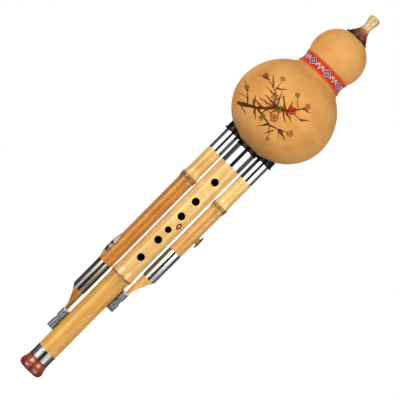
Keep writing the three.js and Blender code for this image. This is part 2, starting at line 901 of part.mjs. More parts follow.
function reedUnit(name, reed, bore, top, x) {
  const root = top + reedRootRise;
  const end = top + reed.height;
  const holder = turned(
    [
      [reed.tubeBoreRadius, top - reed.plugLength],
      [bore - slideGap, top - reed.plugLength],
      [bore - slideGap, top],
      [reed.flangeRadius, top],
      [reed.flangeRadius, top + reed.flangeHeight],
      [reed.tubeRadius, top + reed.flangeHeight],
      [reed.tubeRadius, end],
      [0, end],
      [0, end - reed.plateEdge],
      [reed.tubeBoreRadius, end - reed.plateEdge],
      [reed.tubeBoreRadius, top - reed.plugLength],
    ],
    pipeSides,
  );
  const plateFoot = root - reed.plateEdge;
  const flat = block(
    [-reed.flangeRadius, -reed.flangeRadius - overrun, plateFoot],
    [reed.flangeRadius, -reed.flatDistance, end + overrun],
  );
  const slot = tongueSlab(reed, slideGap, 0, reed.flangeRadius, root);
  add(`${name}_reed_holder`, cut(holder, [flat, slot]), "blackResin", x);
  const near = reed.flatDistance;
  const far = near + reed.plateThickness;
  const half = reed.plateWidth / 2;
  const plate = block([-half, -far, plateFoot], [half, -near, plateFoot + reed.plateLength]);
  const window = tongueSlab(reed, slideGap, near - overrun, far + overrun, root);
  add(`${name}_reed_plate`, cut(plate, [window]), "brass", x);
  const middle = (near + far - reed.tongueThickness) / 2;
  const tongue = tongueSlab(reed, 0, middle, middle + reed.tongueThickness, root + rootGap);
  add(`${name}_reed_tongue`, tongue, "brass", x);
}

tailBell();
tailRing();
mainPipe();
dronePipe("left_drone", leftDrone, "darkBamboo");
dronePipe("right_drone", rightDrone, "bamboo");
lowerSleeve("left_lower_sleeve", leftDrone);
lowerSleeve("right_lower_sleeve", rightDrone);
tailClip("left_tail_clip", leftDrone);
tailClip("right_tail_clip", rightDrone);
clipScrew("left_clip_screw", leftDrone);
clipScrew("right_clip_screw", rightDrone);
tenonCork("main_cork", pipeTenonRadius, pipeCorkRadius, 0);
tenonCork("left_cork", droneTenonRadius, droneCorkRadius, -droneOffset);
tenonCork("right_cork", droneTenonRadius, droneCorkRadius, droneOffset);
upperFerrule("main_ferrule", pipeFerrule, 0);
upperFerrule("left_ferrule", droneFerrule, -droneOffset);
upperFerrule("right_ferrule", droneFerrule, droneOffset);
socketCollar();
gourd();
waistRibbon();
neckRing();
mouthpiece();
mouthpieceCork();
rightStopper();
leftStopper();
reedUnit("main", mainReed, pipeBoreRadius, tenonTop, 0);
reedUnit("left", droneReed, droneBoreRadius, droneTenonTop, -droneOffset);
reedUnit("right", droneReed, droneBoreRadius, droneTenonTop, droneOffset);

export default hulusi;
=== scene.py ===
import math

import bmesh
import bpy
import numpy as np
from bpy.props import FloatProperty, FloatVectorProperty, PointerProperty
from bpy.types import Operator, Panel, PropertyGroup
from mathutils import Matrix, Vector


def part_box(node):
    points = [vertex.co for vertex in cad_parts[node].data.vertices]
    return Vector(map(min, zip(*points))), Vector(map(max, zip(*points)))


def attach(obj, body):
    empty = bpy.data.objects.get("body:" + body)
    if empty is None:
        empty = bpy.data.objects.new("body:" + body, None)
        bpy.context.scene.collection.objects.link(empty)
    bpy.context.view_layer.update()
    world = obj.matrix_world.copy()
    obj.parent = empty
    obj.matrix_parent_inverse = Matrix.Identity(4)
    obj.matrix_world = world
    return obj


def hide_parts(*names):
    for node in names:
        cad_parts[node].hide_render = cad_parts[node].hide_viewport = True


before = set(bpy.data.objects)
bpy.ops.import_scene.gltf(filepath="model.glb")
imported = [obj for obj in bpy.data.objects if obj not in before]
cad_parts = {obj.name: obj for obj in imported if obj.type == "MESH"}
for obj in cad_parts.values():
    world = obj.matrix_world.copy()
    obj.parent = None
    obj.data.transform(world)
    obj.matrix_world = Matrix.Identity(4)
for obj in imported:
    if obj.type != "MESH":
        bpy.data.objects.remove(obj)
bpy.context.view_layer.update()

# Looks of a hulusi: a two-bulb gourd on a finger-hole bamboo pipe and two stoppered drone pipes.
# Metres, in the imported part's frame: +Z runs up the main pipe, the finger holes face -Y, the long
# drone stands on the -X side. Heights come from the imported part, radii from the sizes below.

bl_info = {
    "name": "Hulusi looks",
    "version": (1, 0, 0),
    "blender": (4, 5, 0),
    "location": "3D View > Sidebar > Hulusi",
    "description": "Builds the visible pieces of a hulusi round its packed frame",
    "category": "Object",
}

MM = 0.001
WELD = 2e-7


def low(node, axis=2):
    """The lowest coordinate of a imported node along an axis."""
    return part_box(node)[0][axis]


def high(node, axis=2):
    """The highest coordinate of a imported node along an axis."""
    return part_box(node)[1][axis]


def middle(node):
    """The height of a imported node's middle."""
    return 0.5 * (low(node) + high(node))


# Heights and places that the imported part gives
RING_TOP = high("tail_ring")
SHOULDER = low("main_ferrule")
TENON_TOP = SHOULDER + 16 * MM
BOSS_FOOT = low("socket_collar")
LOBE_FOOT = high("left_ferrule") - 9.0 * MM
GOURD_FOOT_DEPTH = 41.8 * MM
LOWER_CENTRE = BOSS_FOOT + 3.2 * MM + GOURD_FOOT_DEPTH
UPPER_CENTRE = LOWER_CENTRE + 65.5 * MM
GOURD_GAP = 0.3 * MM
NECK_TOP = high("neck_ring")
DRONE_OFFSET = 18.3 * MM
MAIN_NODE = SHOULDER - 131 * MM
DRONE_NODE = SHOULDER - 31.2 * MM
CAP_MIDDLE = middle("left_stopper_cap")
HEAD_MIDDLE = middle("right_stopper_head")
PEG_RISES = {"upper": 2.2 * MM, "lower": -4.4 * MM}


# Sizes and colours that a user would change


def length(name, text, millimetres):
    return FloatProperty(name=name, description=text, default=millimetres * MM, unit="LENGTH", precision=5)


def share(name, text, value):
    return FloatProperty(name=name, description=text, default=value, min=0, max=1, subtype="FACTOR")


def angle(name, text, degrees):
    return FloatProperty(name=name, description=text, default=math.radians(degrees), subtype="ANGLE")


def measure(name, text, value, unit):
    return FloatProperty(name=name, description=text, default=value, min=0, unit=unit)


def colour(name, text, *value):
    return FloatVectorProperty(
        name=name, description=text, default=value, size=3, min=0, max=1, subtype="COLOR_GAMMA"
    )


class HulusiPipeSizes(PropertyGroup):
    upper: length("Main pipe above its node", "Radius of the main pipe above its node", 9.8)
    lower: length("Main pipe below its node", "Radius of the main pipe below its node", 9.6)
    bore: length("Main bore", "Radius of the main pipe's bore", 6.5)
    hole: length("Finger hole", "Radius of the large tone holes", 3.35)
    small_hole: length("Small tone hole", "Radius of the small tone holes", 2.85)
    hole_edge: length("Hole edge", "Rounding at the rim of a tone hole", 0.6)
    drone_bore: length("Drone bore", "Radius of a drone's upper bore", 3.9)


class HulusiGourdSizes(PropertyGroup):
    lower: length("Lower bulb", "Radius of the lower bulb", 45.95)
    upper: length("Upper bulb", "Radius of the upper bulb", 24.9)
    fillet: length("Waist curve", "Radius of the curve between the bulbs", 12)
    wall: length("Wall", "Thickness of the gourd's skin", 3)
    neck_hole: length("Neck hole", "Radius of the hole at the top", 5.3)
    ribbon_thickness: length("Ribbon thickness", "Thickness of the woven ribbon", 0.7)


class HulusiFinishes(PropertyGroup):
    bamboo: colour("Bamboo", "Skin of the main pipe and of the drones' tops", 0.97, 0.83, 0.52)
    bamboo_low: colour("Lower bamboo", "Skin of the main pipe below its node", 0.88, 0.67, 0.28)
    long_drone: colour("Long drone", "Skin of the long drone below its node", 0.79, 0.51, 0.14)
    short_drone: colour("Short drone", "Skin of the short drone below its node", 0.91, 0.68, 0.36)
    gourd: colour("Gourd", "Skin of the gourd", 0.86, 0.63, 0.35)
    steel: colour("Steel", "Polished ferrules", 0.86, 0.86, 0.87)
    casting: colour("Casting", "Pale grains of the tail clips", 0.53, 0.53, 0.54)
    black: colour("Black resin", "Socket collar and neck ring", 0.06, 0.04, 0.03)
    cork: colour("Cork", "Tenon corks", 0.74, 0.56, 0.36)
    brass: colour("Brass", "Reeds", 0.82, 0.68, 0.36)
    dark_wood: colour("Dark wood", "Stopper head and pegs", 0.1, 0.055, 0.035)
    haze: colour("Hazy resin", "Cap of the long drone's stopper", 0.88, 0.81, 0.7)


class HulusiStage(PropertyGroup):
    side_power: measure("Softbox power", "Power of each softbox", 2.2, "POWER")
    upper_power: measure("Upper lamp power", "Power of each upper lamp", 4.6, "POWER")
    ambient: share("Ambient light", "Strength of the light from all round", 0.5)
    lens: measure("Lens", "Focal length of the camera", 158.8, "CAMERA")
    distance: measure("Camera distance", "Distance of the camera", 1.5, "LENGTH")
    roll: angle("Camera roll", "Turn of the camera about its view", 44.74)
    turn: angle("Camera turn", "Turn of the camera about the upright axis", -4.2)
    floor_drop: length("Floor", "How far the floor lies below the tail", 60)


# Mesh helpers


class Shell:
    """Grids of points that are welded into one closed mesh with its faces pointing outwards."""

    def __init__(self):
        self.points, self.faces, self.marks, self.places = [], [], [], []
        self.count = 0

    def grid(self, points, mark=0, kept=None, places=None):
        """Adds rows by columns of points as quads of the material number mark, without the cells not kept."""
        rows, columns = points.shape[:2]
        index = self.count + np.arange(rows * columns).reshape(rows, columns)
        quads = np.stack([index[:-1, :-1], index[1:, :-1], index[1:, 1:], index[:-1, 1:]], axis=-1)
        quads = quads.reshape(-1, 4) if kept is None else quads[kept]
        self.points.append(points.reshape(-1, 3))
        self.faces.append(quads)
        self.marks.append(np.full(len(quads), mark))
        self.places.append(np.zeros((rows * columns, 2)) if places is None else places.reshape(-1, 2))
        self.count += rows * columns
        return self

    def fan(self, loop, hub, steps=1, mark=0):
        """Closes a loop of points towards a hub: loop (1 - s) + hub s."""
        s = np.linspace(0, 1, steps + 1)[:, None, None]
        return self.grid(loop[None] * (1 - s) + np.array(hub) * s, mark)

    def move(self, x):
        """Moves all points along X."""
        self.points = [points + [x, 0, 0] for points in self.points]
        return self

    def mesh(self, name, sharp=40):
        """Welds points that coincide and keeps edges that turn more than sharp degrees crisp."""
        points, faces = np.concatenate(self.points), np.concatenate(self.faces)
        made = bpy.data.meshes.new(name)
        made.vertices.add(len(points))
        made.vertices.foreach_set("co", points.astype(np.float32).ravel())
        made.loops.add(faces.size)
        made.loops.foreach_set("vertex_index", faces.ravel().astype(np.int32))
        made.polygons.add(len(faces))
        made.polygons.foreach_set("loop_start", np.arange(0, faces.size, 4, dtype=np.int32))
        made.polygons.foreach_set("material_index", np.concatenate(self.marks).astype(np.int32))
        layer = made.uv_layers.new(name="Surface")
        places = np.concatenate(self.places)[faces.ravel()]
        layer.data.foreach_set("uv", places.astype(np.float32).ravel())
        made.update(calc_edges=True)
        form = bmesh.new()
        form.from_mesh(made)
        bmesh.ops.remove_doubles(form, verts=form.verts, dist=WELD)
        bmesh.ops.recalc_face_normals(form, faces=form.faces)
        form.to_mesh(made)
        form.free()
        made.shade_smooth()
        made.set_sharp_from_angle(angle=math.radians(sharp))
        return made


def fit(name, shell, body, node, slot, *finishes, sharp=40):
    """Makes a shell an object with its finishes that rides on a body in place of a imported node."""
    made = bpy.data.objects.new(name, shell.mesh(name, sharp))
    bpy.context.scene.collection.objects.link(made)
    for finish_name in finishes:
        made.data.materials.append(skin(finish_name))
    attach(made, body)
    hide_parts(node)
    return made


def rounded(corners, closed=False, steps=4):
    """A path through (across, along, rounding) corners. A rounded corner is the quadratic curve that leaves
    one side and meets the next at the rounding's distance from the corner, with a point a little beyond
    each end so that the straight sides stay flat when they are shaded smooth."""
    data = np.array([(*corner, 0)[:3] for corner in corners], float)
    points, sizes = data[:, :2], data[:, 2]
    if not closed:
        sizes[[0, -1]] = 0
    path = []
    for point, size, before, after in zip(points, sizes, np.roll(points, 1, 0), np.roll(points, -1, 0)):
        if size == 0:
            path.append(point[None])
            continue
        start, end = (
            point + (beside - point) * min(size / np.linalg.norm(beside - point), 0.49)
            for beside in (before, after)
        )
        lead, trail = (
            foot + (beside - foot) * min(0.5 * size / np.linalg.norm(beside - foot), 0.3)
            for foot, beside in ((start, before), (end, after))
        )
        t = np.linspace(0, 1, steps + 1)[:, None]
        curve = (1 - t) ** 2 * start + 2 * t * (1 - t) * point + t**2 * end
        path.append(np.concatenate([[lead], curve, [trail]]))
    path = np.concatenate(path)
    return np.concatenate([path, path[:1]]) if closed else path


def ring_of(corners):
    """A closed rounded outline from corners in millimetres."""
    return rounded([tuple(value * MM for value in corner) for corner in corners], closed=True)


def circle(sides, start=0.0):
    """Angles once round, the last one equal to the first."""
    return start + np.linspace(0, 2 * math.pi, sides + 1)


def arc(across, along, reach, rise, start, end, steps):
    """Points of an elliptical arc between two angles in degrees."""
    a = np.radians(np.linspace(start, end, steps + 1))
    return np.stack([across + reach * np.cos(a), along + rise * np.sin(a)], axis=-1)


def ease(t):
    """Smooth step: 3 t^2 - 2 t^3 between 0 and 1."""
    t = np.clip(t, 0, 1)
    return t * t * (3 - 2 * t)


def stack(x, y, z):
    """Points from coordinates that are brought to one shape."""
    return np.stack(np.broadcast_arrays(x, y, z), axis=-1)


def turned(profile, angles, x=0.0):
    """A profile of (radius, height) turned about an upright axis: x + r cos a, r sin a, height."""
    r, z = np.asarray(profile).T
    a = angles[:, None]
    return stack(x + r * np.cos(a), r * np.sin(a), z)


def turned_sideways(profile, angles, side, x, z):
    """A profile of (radius, reach) turned about the X direction: x + side reach, r cos a, z + r sin a."""
    r, reach = np.asarray(profile).T
    a = angles[:, None]
    return stack(x + side * reach, r * np.cos(a), z + r * np.sin(a))


def lathe(name, outline, body, node, slot, *finishes, x=0.0, sides=96):
    """Fits a piece turned from an outline about the upright axis at x."""
    return fit(name, Shell().grid(turned(outline, circle(sides), x)), body, node, slot, *finishes)


def rim_angles(cells):
    """Angles of the rim points that answer to a block's border, from the corner at -135 degrees."""
    return math.radians(-135) + np.linspace(0, 2 * math.pi, 4 * cells + 1)


def drilled(shell, surface_at, us, vs, holes, mark=0, rings=5):
    """Adds a surface over u and v lines with round holes. A block of cells is left out round each hole, and
    rings of points go from the block's border to the rim, evenly in u and v: border + s (rim - border).
    A hole is (first u, last u, first v, last v, rim), with as many cells along u as along v."""
    kept = np.ones((len(us) - 1, len(vs) - 1), bool)
    for i, j, k, m, rim in holes:
        kept[i:j, k:m] = False
        run = np.arange(j - i)
        sides = [
            (us[i + run], vs[k] + 0 * run),
            (us[j] + 0 * run, vs[k + run]),
            (us[j - run], vs[m] + 0 * run),
            (us[i] + 0 * run, vs[m - run]),
            ([us[i]], [vs[k]]),
        ]
        border = np.concatenate([np.stack(pair, -1) for pair in sides])
        edge = np.stack(rim(rim_angles(j - i)), -1)
        s = np.linspace(0, 1, rings + 1)[:, None, None] ** 0.8
        both = border[None] + s * (edge - border)[None]
        shell.grid(surface_at(both[..., 0], both[..., 1]), mark)
    u, v = np.meshgrid(us, vs, indexing="ij")
    shell.grid(surface_at(u, v), mark, kept)


def hole_angles(centres, half, cells, between_cells):
    """Angles round a pipe with a block of fine columns at each centre, and the columns of each block."""
    parts, columns, count = [], [], 0
    for index, centre in enumerate(centres):
        block = centre + np.linspace(-half, half, cells + 1)
        following = centres[(index + 1) % len(centres)]
        while following <= centre:
            following += 2 * math.pi
        rest = np.linspace(block[-1], following - half, between_cells + 1)[1:-1]
        columns.append((count, count + cells))
        parts += [block, rest]
        count += cells + between_cells
    angles = np.concatenate(parts)
    return np.append(angles, angles[0] + 2 * math.pi), columns


# Material helpers


class Signal:
    """A value that varies over the surface; arithmetic and comparisons with it add nodes to its tree."""

    def __init__(self, socket):
        self.socket, self.tree = socket, socket.id_data

    def __add__(self, other):
        return calc("ADD", self, other)

    def __sub__(self, other):
        return calc("SUBTRACT", self, other)

    def __rsub__(self, other):
        return calc("SUBTRACT", other, self)

    def __mul__(self, other):
        return calc("MULTIPLY", self, other)

    def __truediv__(self, other):
        return calc("DIVIDE", self, other)

    def __lt__(self, other):
        return calc("LESS_THAN", self, other)

    def __gt__(self, other):
        return calc("GREATER_THAN", self, other)

    def __abs__(self):
        return calc("ABSOLUTE", self)


def linear(value):
    """A display colour as the linear colour that a shader takes."""
    value = np.array(value[:3], float)
    made = np.where(value <= 0.04045, value / 12.92, ((value + 0.055) / 1.055) ** 2.4)
    return (*made, 1.0)


def fill(made, values):
    """Fills a node's inputs, by name or number, with values or signals."""
    for key, value in values.items():
        if isinstance(value, Signal):
            value.tree.links.new(value.socket, made.inputs[key])
        else:
            made.inputs[key].default_value = value
    return made


def add(tree, kind, values=None, **settings):
    """Adds a node, sets its properties and fills its inputs."""
    made = tree.nodes.new(kind)
    for key, value in settings.items():
        setattr(made, key, value)
    return fill(made, values or {})


def put(tree, kind, values=None, output=0, **settings):
    """Adds a node and gives one of its outputs."""
    return Signal(add(tree, kind, values, **settings).outputs[output])


def tree_of(values):
    """The tree of the first signal among some values."""
    return next(value.tree for value in values if isinstance(value, Signal))


def calc(operation, *values, clamp=False):
    """One number from one, two or three."""
    inputs = dict(enumerate(values))
    return put(tree_of(values), "ShaderNodeMath", inputs, operation=operation, use_clamp=clamp)


def vary(operation, *values, output="Vector", **named):
    """A vector, or with the output Value a number, from vectors."""
    inputs = {**dict(enumerate(values)), **named}
    return put(tree_of(values), "ShaderNodeVectorMath", inputs, output, operation=operation)


def blend(factor, first, second, mode="MIX"):
    """Two shades mixed by a factor; a shade that is no signal is a display colour."""
    first, second = (shade if isinstance(shade, Signal) else linear(shade) for shade in (first, second))
    inputs = {0: factor, 6: first, 7: second}
    return put(tree_of(inputs.values()), "ShaderNodeMix", inputs, 2, data_type="RGBA", blend_type=mode)


def painted(shade, *layers):
    """Lays colours over a shade one after another, each as far as its mask says."""
    for mask, over in layers:
        shade = blend(mask, shade, over)
    return shade


def between(value, start, end):
    """0 at start, 1 at end and a smooth step between."""
    inputs = {"Value": value, "From Min": start, "From Max": end}
    return put(value.tree, "ShaderNodeMapRange", inputs, interpolation_type="SMOOTHSTEP")


def noise(vector, scale, detail=3.0, roughness=0.5, output=0):
    inputs = {"Vector": vector, "Scale": scale, "Detail": detail, "Roughness": roughness}
    return put(vector.tree, "ShaderNodeTexNoise", inputs, output)


def placed(tree, scale=(1, 1, 1)):
    """Object coordinates, drawn out by a scale."""
    source = put(tree, "ShaderNodeTexCoord", output="Object")
    return put(tree, "ShaderNodeMapping", {"Vector": source, "Scale": scale})


def split(vector):
    """The three coordinates of a vector."""
    return [Signal(socket) for socket in add(vector.tree, "ShaderNodeSeparateXYZ", {0: vector}).outputs]


def stops(value, *colours):
    """A colour ramp over a value, from (position, linear colour) pairs."""
    made = add(value.tree, "ShaderNodeValToRGB", {0: value})
    elements = made.color_ramp.elements
    for index, (position, shade) in enumerate(colours):
        element = elements[index] if index < 2 else elements.new(position)
        element.position, element.color = position, shade
    return Signal(made.outputs[0])


def finish(name, **settings):
    """A new material's tree and its Principled shader, whose uniform sockets are set from settings."""
    made = bpy.data.materials.new(name)
    made.use_nodes = True
    shader = made.node_tree.nodes["Principled BSDF"]
    fill(shader, {key.replace("_", " "): value for key, value in settings.items()})
    return made.node_tree, shader


def surface(shader, shade, height=None, strength=0.0, distance=0.2 * MM):
    """Gives a shader its colour and, where there is a height, its bump."""
    fill(shader, {"Base Color": shade})
    if height is not None:
        inputs = {"Height": height, "Strength": strength, "Distance": distance}
        fill(shader, {"Normal": put(height.tree, "ShaderNodeBump", inputs)})


# Effects that several materials use


def long_fibres(vector, across, along):
    """Fibres that run up the piece: noise drawn out along Z."""
    scale = put(vector.tree, "ShaderNodeCombineXYZ", {0: across, 1: across, 2: along})
    drawn = vary("MULTIPLY", vector, scale)
    return between(noise(drawn, 1.0, 4.0, 0.6), 0.33, 0.67), noise(drawn, 3.1, 2.0, 0.6)


def speckles(vector, scale, limit):
    """Small dark dots where fine noise passes a limit."""
    return [between(noise(vector, scale, 2.0, 0.7), limit, limit + 0.07)]


def soft_blotches(vector, scale):
    """Cloudy patches."""
    return [between(noise(vector, scale, 4.0, 0.55), 0.36, 0.66)]


def ring_band(vector, height, spread):
    """A band round the piece at one height: a bell curve exp(-((z - height) / spread)^2)."""
    away = (split(vector)[2] - height) / spread
    return [calc("EXPONENT", away * away * -1.0)]


def brush_stroke(vector, start, end, width, tip):
    """One stroke of a brush on the front: the distance to the line from start to end, less a half width
    that thins towards the end."""
    along = vary("SUBTRACT", end, start)
    from_start = vary("SUBTRACT", vary("MULTIPLY", vector, FLAT), start)
    dots = [vary("DOT_PRODUCT", first, along, output="Value") for first in (from_start, along)]
    reach = calc("DIVIDE", *dots, clamp=True)
    away = vary("DISTANCE", from_start, vary("SCALE", along, Scale=reach), output="Value")
    half = width * (reach * (tip - 1.0) + 1.0)
    return [between(away - half, 0.18 * MM, -0.12 * MM) * (split(vector)[1] < 0.0)]


def blossom(vector, centre, size, turn):
    """A five-petalled blossom on the front: the radius of its edge is size (0.72 + 0.28 |cos 2.5 a|)."""
    x, _, z = split(vary("SUBTRACT", vary("MULTIPLY", vector, FLAT), centre))
    lobes = abs(calc("COSINE", (calc("ARCTAN2", z, x) + turn) * 2.5))
    part = calc("SQRT", x * x + z * z) / (size * (lobes * 0.28 + 0.72))
    front = split(vector)[1] < 0.0
    edge = between(part, 0.72, 0.86) * between(part, 1.08, 0.98)
    return between(part, 1.03, 0.95) * front, between(part, 0.36, 0.2) * front, edge * front


ORIGIN = (0.0, 0.0, 0.0)
FLAT = (1.0, 0.0, 1.0)
EFFECTS = {
    "Long fibres": (long_fibres, {"Vector": ORIGIN, "Across": 900.0, "Along": 30.0}, ["Streak", "Fine"]),
    "Speckles": (speckles, {"Vector": ORIGIN, "Scale": 400.0, "Limit": 0.62}, ["Mask"]),
    "Soft blotches": (soft_blotches, {"Vector": ORIGIN, "Scale": 40.0}, ["Mask"]),
    "Ring band": (ring_band, {"Vector": ORIGIN, "Height": 0.1, "Spread": 0.001}, ["Mask"]),
    "Brush stroke": (
        brush_stroke,
        {"Vector": ORIGIN, "Start": ORIGIN, "End": ORIGIN, "Width": 0.001, "Tip": 0.3},
        ["Mask"],
    ),
    "Blossom": (
        blossom,
        {"Vector": ORIGIN, "Centre": ORIGIN, "Size": 0.003, "Turn": 0.0},
        ["Petals", "Heart", "Edge"],
    ),
}


def shared_effects():
    """Makes each effect a shader node group with named inputs and outputs."""
    for name, (work, inputs, outputs) in EFFECTS.items():
        tree = bpy.data.node_groups.new(name, "ShaderNodeTree")
        for label, value in inputs.items():
            kind = "NodeSocketVector" if value == ORIGIN else "NodeSocketFloat"
            tree.interface.new_socket(label, in_out="INPUT", socket_type=kind).default_value = value
        for label in outputs:
            tree.interface.new_socket(label, in_out="OUTPUT", socket_type="NodeSocketFloat")
        given = add(tree, "NodeGroupInput").outputs
        results = work(*(Signal(given[label]) for label in inputs))
        add(tree, "NodeGroupOutput", dict(zip(outputs, results)))


def use(effect, **values):
    """Places a shared effect in the tree of its Vector and gives its outputs by name."""
    made = add(values["Vector"].tree, "ShaderNodeGroup", node_tree=bpy.data.node_groups[effect])
    return {socket.name: Signal(socket) for socket in fill(made, values).outputs}


def strokes(vector, rows):
    """The joint mask of brush strokes, from rows of start, end, half width and thinning."""
    whole = None
    for start, end, width, tip in rows:
        mask = use("Brush stroke", Vector=vector, Start=start, End=end, Width=width, Tip=tip)["Mask"]
        whole = mask if whole is None else calc("MAXIMUM", whole, mask)
    return whole


# Finishes

LINE_COLOUR = (0.32, 0.15, 0.04)


def bamboo_skin(
    name, upper, lower, divide, deep, pale, speckle, lines, flame, sides=0.0, warm=0.0, line_colour=LINE_COLOUR
):
    """Lacquered bamboo: long fibres, brown streaks, cloudy patches and specks, another shade above the node
    at height divide, dark lines in the node's grooves, brown flames that run down from it, yellower sides
    below it on a pipe that stands on the middle axis, and a warmer shade in the stretch above it. The dark
    lines in the grooves are the node's own darker ring with painted shade of the grooves over it."""
    tree, shader = finish(
        name, Roughness=0.42, Specular_IOR_Level=0.2, Coat_Weight=0.75, Coat_Roughness=0.17
    )
    vector = placed(tree)
    across, _, height = split(vector)
    above = between(height, divide - MM, divide + MM)
    below, under = 1.0 - above, 1.0 - above * 0.45
    broad = use("Long fibres", Vector=vector, Across=260.0, Along=6.0)
    fibres = use("Long fibres", Vector=vector, Across=1000.0, Along=16.0)
    patches = use("Soft blotches", Vector=placed(tree, (1, 1, 0.6)), Scale=110.0)["Mask"]
    spots = use("Speckles", Vector=placed(tree, (1, 1, 0.5)), Scale=700.0, Limit=0.6)["Mask"]
    veins = between(broad["Fine"], 0.52, 0.68)
    burn = between(broad["Fine"], 0.4, 0.6) * between(height, divide - 14 * MM, divide - MM)
    dark = [c * 0.62 for c in deep]
    layers = [(broad["Streak"] * under * 0.62, deep)]
    if sides:
        edge = between(abs(across), 4 * MM, 9.2 * MM)
        layers.append((edge * below * sides, (0.88, 0.71, 0.27)))
    if warm:
        near = between(height, divide + 85 * MM, divide + 40 * MM)
        layers.append((near * above * warm, deep))
    layers += [
        (fibres["Streak"] * 0.25, pale),
        (patches * 0.3, deep),
        (veins * under * 0.3, dark),
        (spots * speckle, dark),
        (burn * below * flame, dark),
    ]
    worn = broad["Streak"] * 0.2 + 0.8
    # Dark bands at given heights; in the node's grooves they paint the grooves' shade over the node's own
    # darker ring
    for line, spread, strength in lines:
        ring = use("Ring band", Vector=vector, Height=line, Spread=spread)["Mask"]
        layers.append((ring * strength * worn, line_colour))
    surface(shader, painted(blend(above, lower, upper), *layers), fibres["Fine"], 0.04)
    return shader


def burnt_mark(shader, x, z):
    """A small burnt lozenge beside the holes, where the lacquer is gone."""
    tall, wide = 2.9 * MM, 1.7 * MM
    corners = [(x, 0, z - tall), (x + wide, 0, z), (x, 0, z + tall), (x - wide, 0, z)]
    rows = [(start, end, 0.6 * MM, 1.0) for start, end in zip(corners, corners[1:] + corners[:1])]
    mask = strokes(placed(shader.id_data), rows)
    before = Signal(shader.inputs["Base Color"].links[0].from_socket)
    coat = (1.0 - mask) * shader.inputs["Coat Weight"].default_value
    fill(shader, {"Base Color": blend(mask, before, (0.22, 0.08, 0.0)), "Coat Weight": coat})


def sawn_bamboo():
    """Sawn bamboo: pale pith with dark fibre ends."""
    tree, shader = finish("Sawn bamboo", Roughness=0.6)
    fibres = use("Long fibres", Vector=placed(tree), Across=1500.0, Along=90.0)
    shade = blend(fibres["Streak"], (0.96, 0.82, 0.55), (0.86, 0.66, 0.38))
    surface(shader, shade, fibres["Fine"], 0.3, 0.3 * MM)


def plain(name, base, roughness, variation=0.1, scale=300.0, depth=0.1, **settings):
    """A colour with fine uneven shade and, where depth isn't 0, a slightly uneven surface."""
    tree, shader = finish(name, Roughness=roughness, **settings)
    grain = noise(placed(tree), scale, 4.0, 0.6)
    shade = blend(grain, [c * (1 - variation) for c in base], base)
    surface(shader, shade, grain if depth else None, depth)


def grey_casting(base):
    """Cast metal: dark and pale grit, and a painted highlight as a pale band under the top edge of each clip.
    """
    tree, shader = finish("Grey casting", Roughness=0.45, Metallic=0.4)
    vector = placed(tree)
    grit = noise(vector, 1000.0, 3.0, 0.8)
    layers = []
    for key in DRONES:
        # Painted highlight: a pale band just under the top edge of each clip
        highlight_height = high(f"{key}_tail_clip") - 0.2 * MM
        rim = use("Ring band", Vector=vector, Height=highlight_height, Spread=0.8 * MM)["Mask"]
        layers.append((rim * 0.75, (0.88, 0.88, 0.88)))
    shade = stops(grit, (0.4, linear((0.12, 0.12, 0.13))), (0.6, linear(base)))
    surface(shader, painted(shade, *layers), grit, 0.5, 0.3 * MM)


# The plum branch: strokes from start to end in millimetres off the painting's middle, with their half
# widths and how far they thin; the leaf strokes alike, which all thin as far; blossoms with their size,
# turn and tint
BRANCH_INK = ((0.36, 0.13, 0.0), (0.22, 0.06, 0.0))
BRANCHES = [
    (-33, -17.5, -21, -11, 1.6, 0.8), (-21, -11, -11, -1, 1.3, 0.8), (-11, -1, 0.5, 6, 1.05, 0.75),
    (0.5, 6, 7.5, 17.5, 0.75, 0.4), (-21, -11, -3.5, -14, 0.95, 0.7), (-3.5, -14, 12.5, -8, 0.65, 0.4),
    (-11, -1, -20, 9.5, 0.75, 0.6), (-20, 9.5, -22, 20.5, 0.45, 0.35), (-20, 9.5, -33, 13.5, 0.5, 0.35),
    (0.5, 6, 14.5, 7.5, 0.5, 0.35), (-27.5, -14.5, -37.5, -4.5, 0.6, 0.35), (-3.5, -14, 3, -22, 0.45, 0.35),
    (-16, -6, -5, -7, 0.45, 0.4), (4, 11.5, -4, 19, 0.42, 0.35), (-33, -17.5, -23, -20.5, 0.65, 0.35),
    (4.5, -11, 9.5, -17, 0.35, 0.35), (-15, 3.5, -11, 13, 0.4, 0.35), (-32, -10, -40, -11, 0.4, 0.3),
]
LEAF_INK = ((0.45, 0.24, 0.0), (0.28, 0.1, 0.0))
LEAF_TIP = 0.15
LEAVES = [
    (-12, 0.5, -24, 2, 1.35), (-13, -1.5, -25, -3.5, 1.22), (-1, 5, -4, 13.5, 1.35),
    (-2.5, 3.5, 7.5, 0.5, 1.22), (-9, 0.5, -3.5, -4.5, 1.08), (5, -11, 15, -13.5, 1.22),
    (-24, -12.5, -29, -3.5, 1.22), (-23, -12, -15, -18.5, 1.15), (11, 7, 18, 12, 0.94),
    (-20.5, 12, -13.5, 17.5, 0.94), (-24, 11, -30.5, 19, 0.94), (-5, -14, -10, -21.5, 1.01),
    (-30, 13, -40.5, 10, 0.88), (-17.5, 7, -28, 6.5, 1.01), (6.5, 15, 14, 17.5, 0.81),
    (-36, -5.5, -43, -0.5, 0.81), (1, -15.5, -2, -22.5, 0.81), (-8, 2, -10.5, -7.5, 1.28),
    (-6.5, 3, 4, -3.5, 1.28), (-12, -2.5, -19.5, -8, 1.22), (-4.5, 4.5, -13.5, 11.5, 1.22),
    (-14.5, -5, -14.5, -12.5, 1.08), (-18, -8, -28, -7, 1.15), (-1.5, 6.5, 5.5, 13.5, 1.08),
    (-10, 0, -17, 15, 1.08),
]
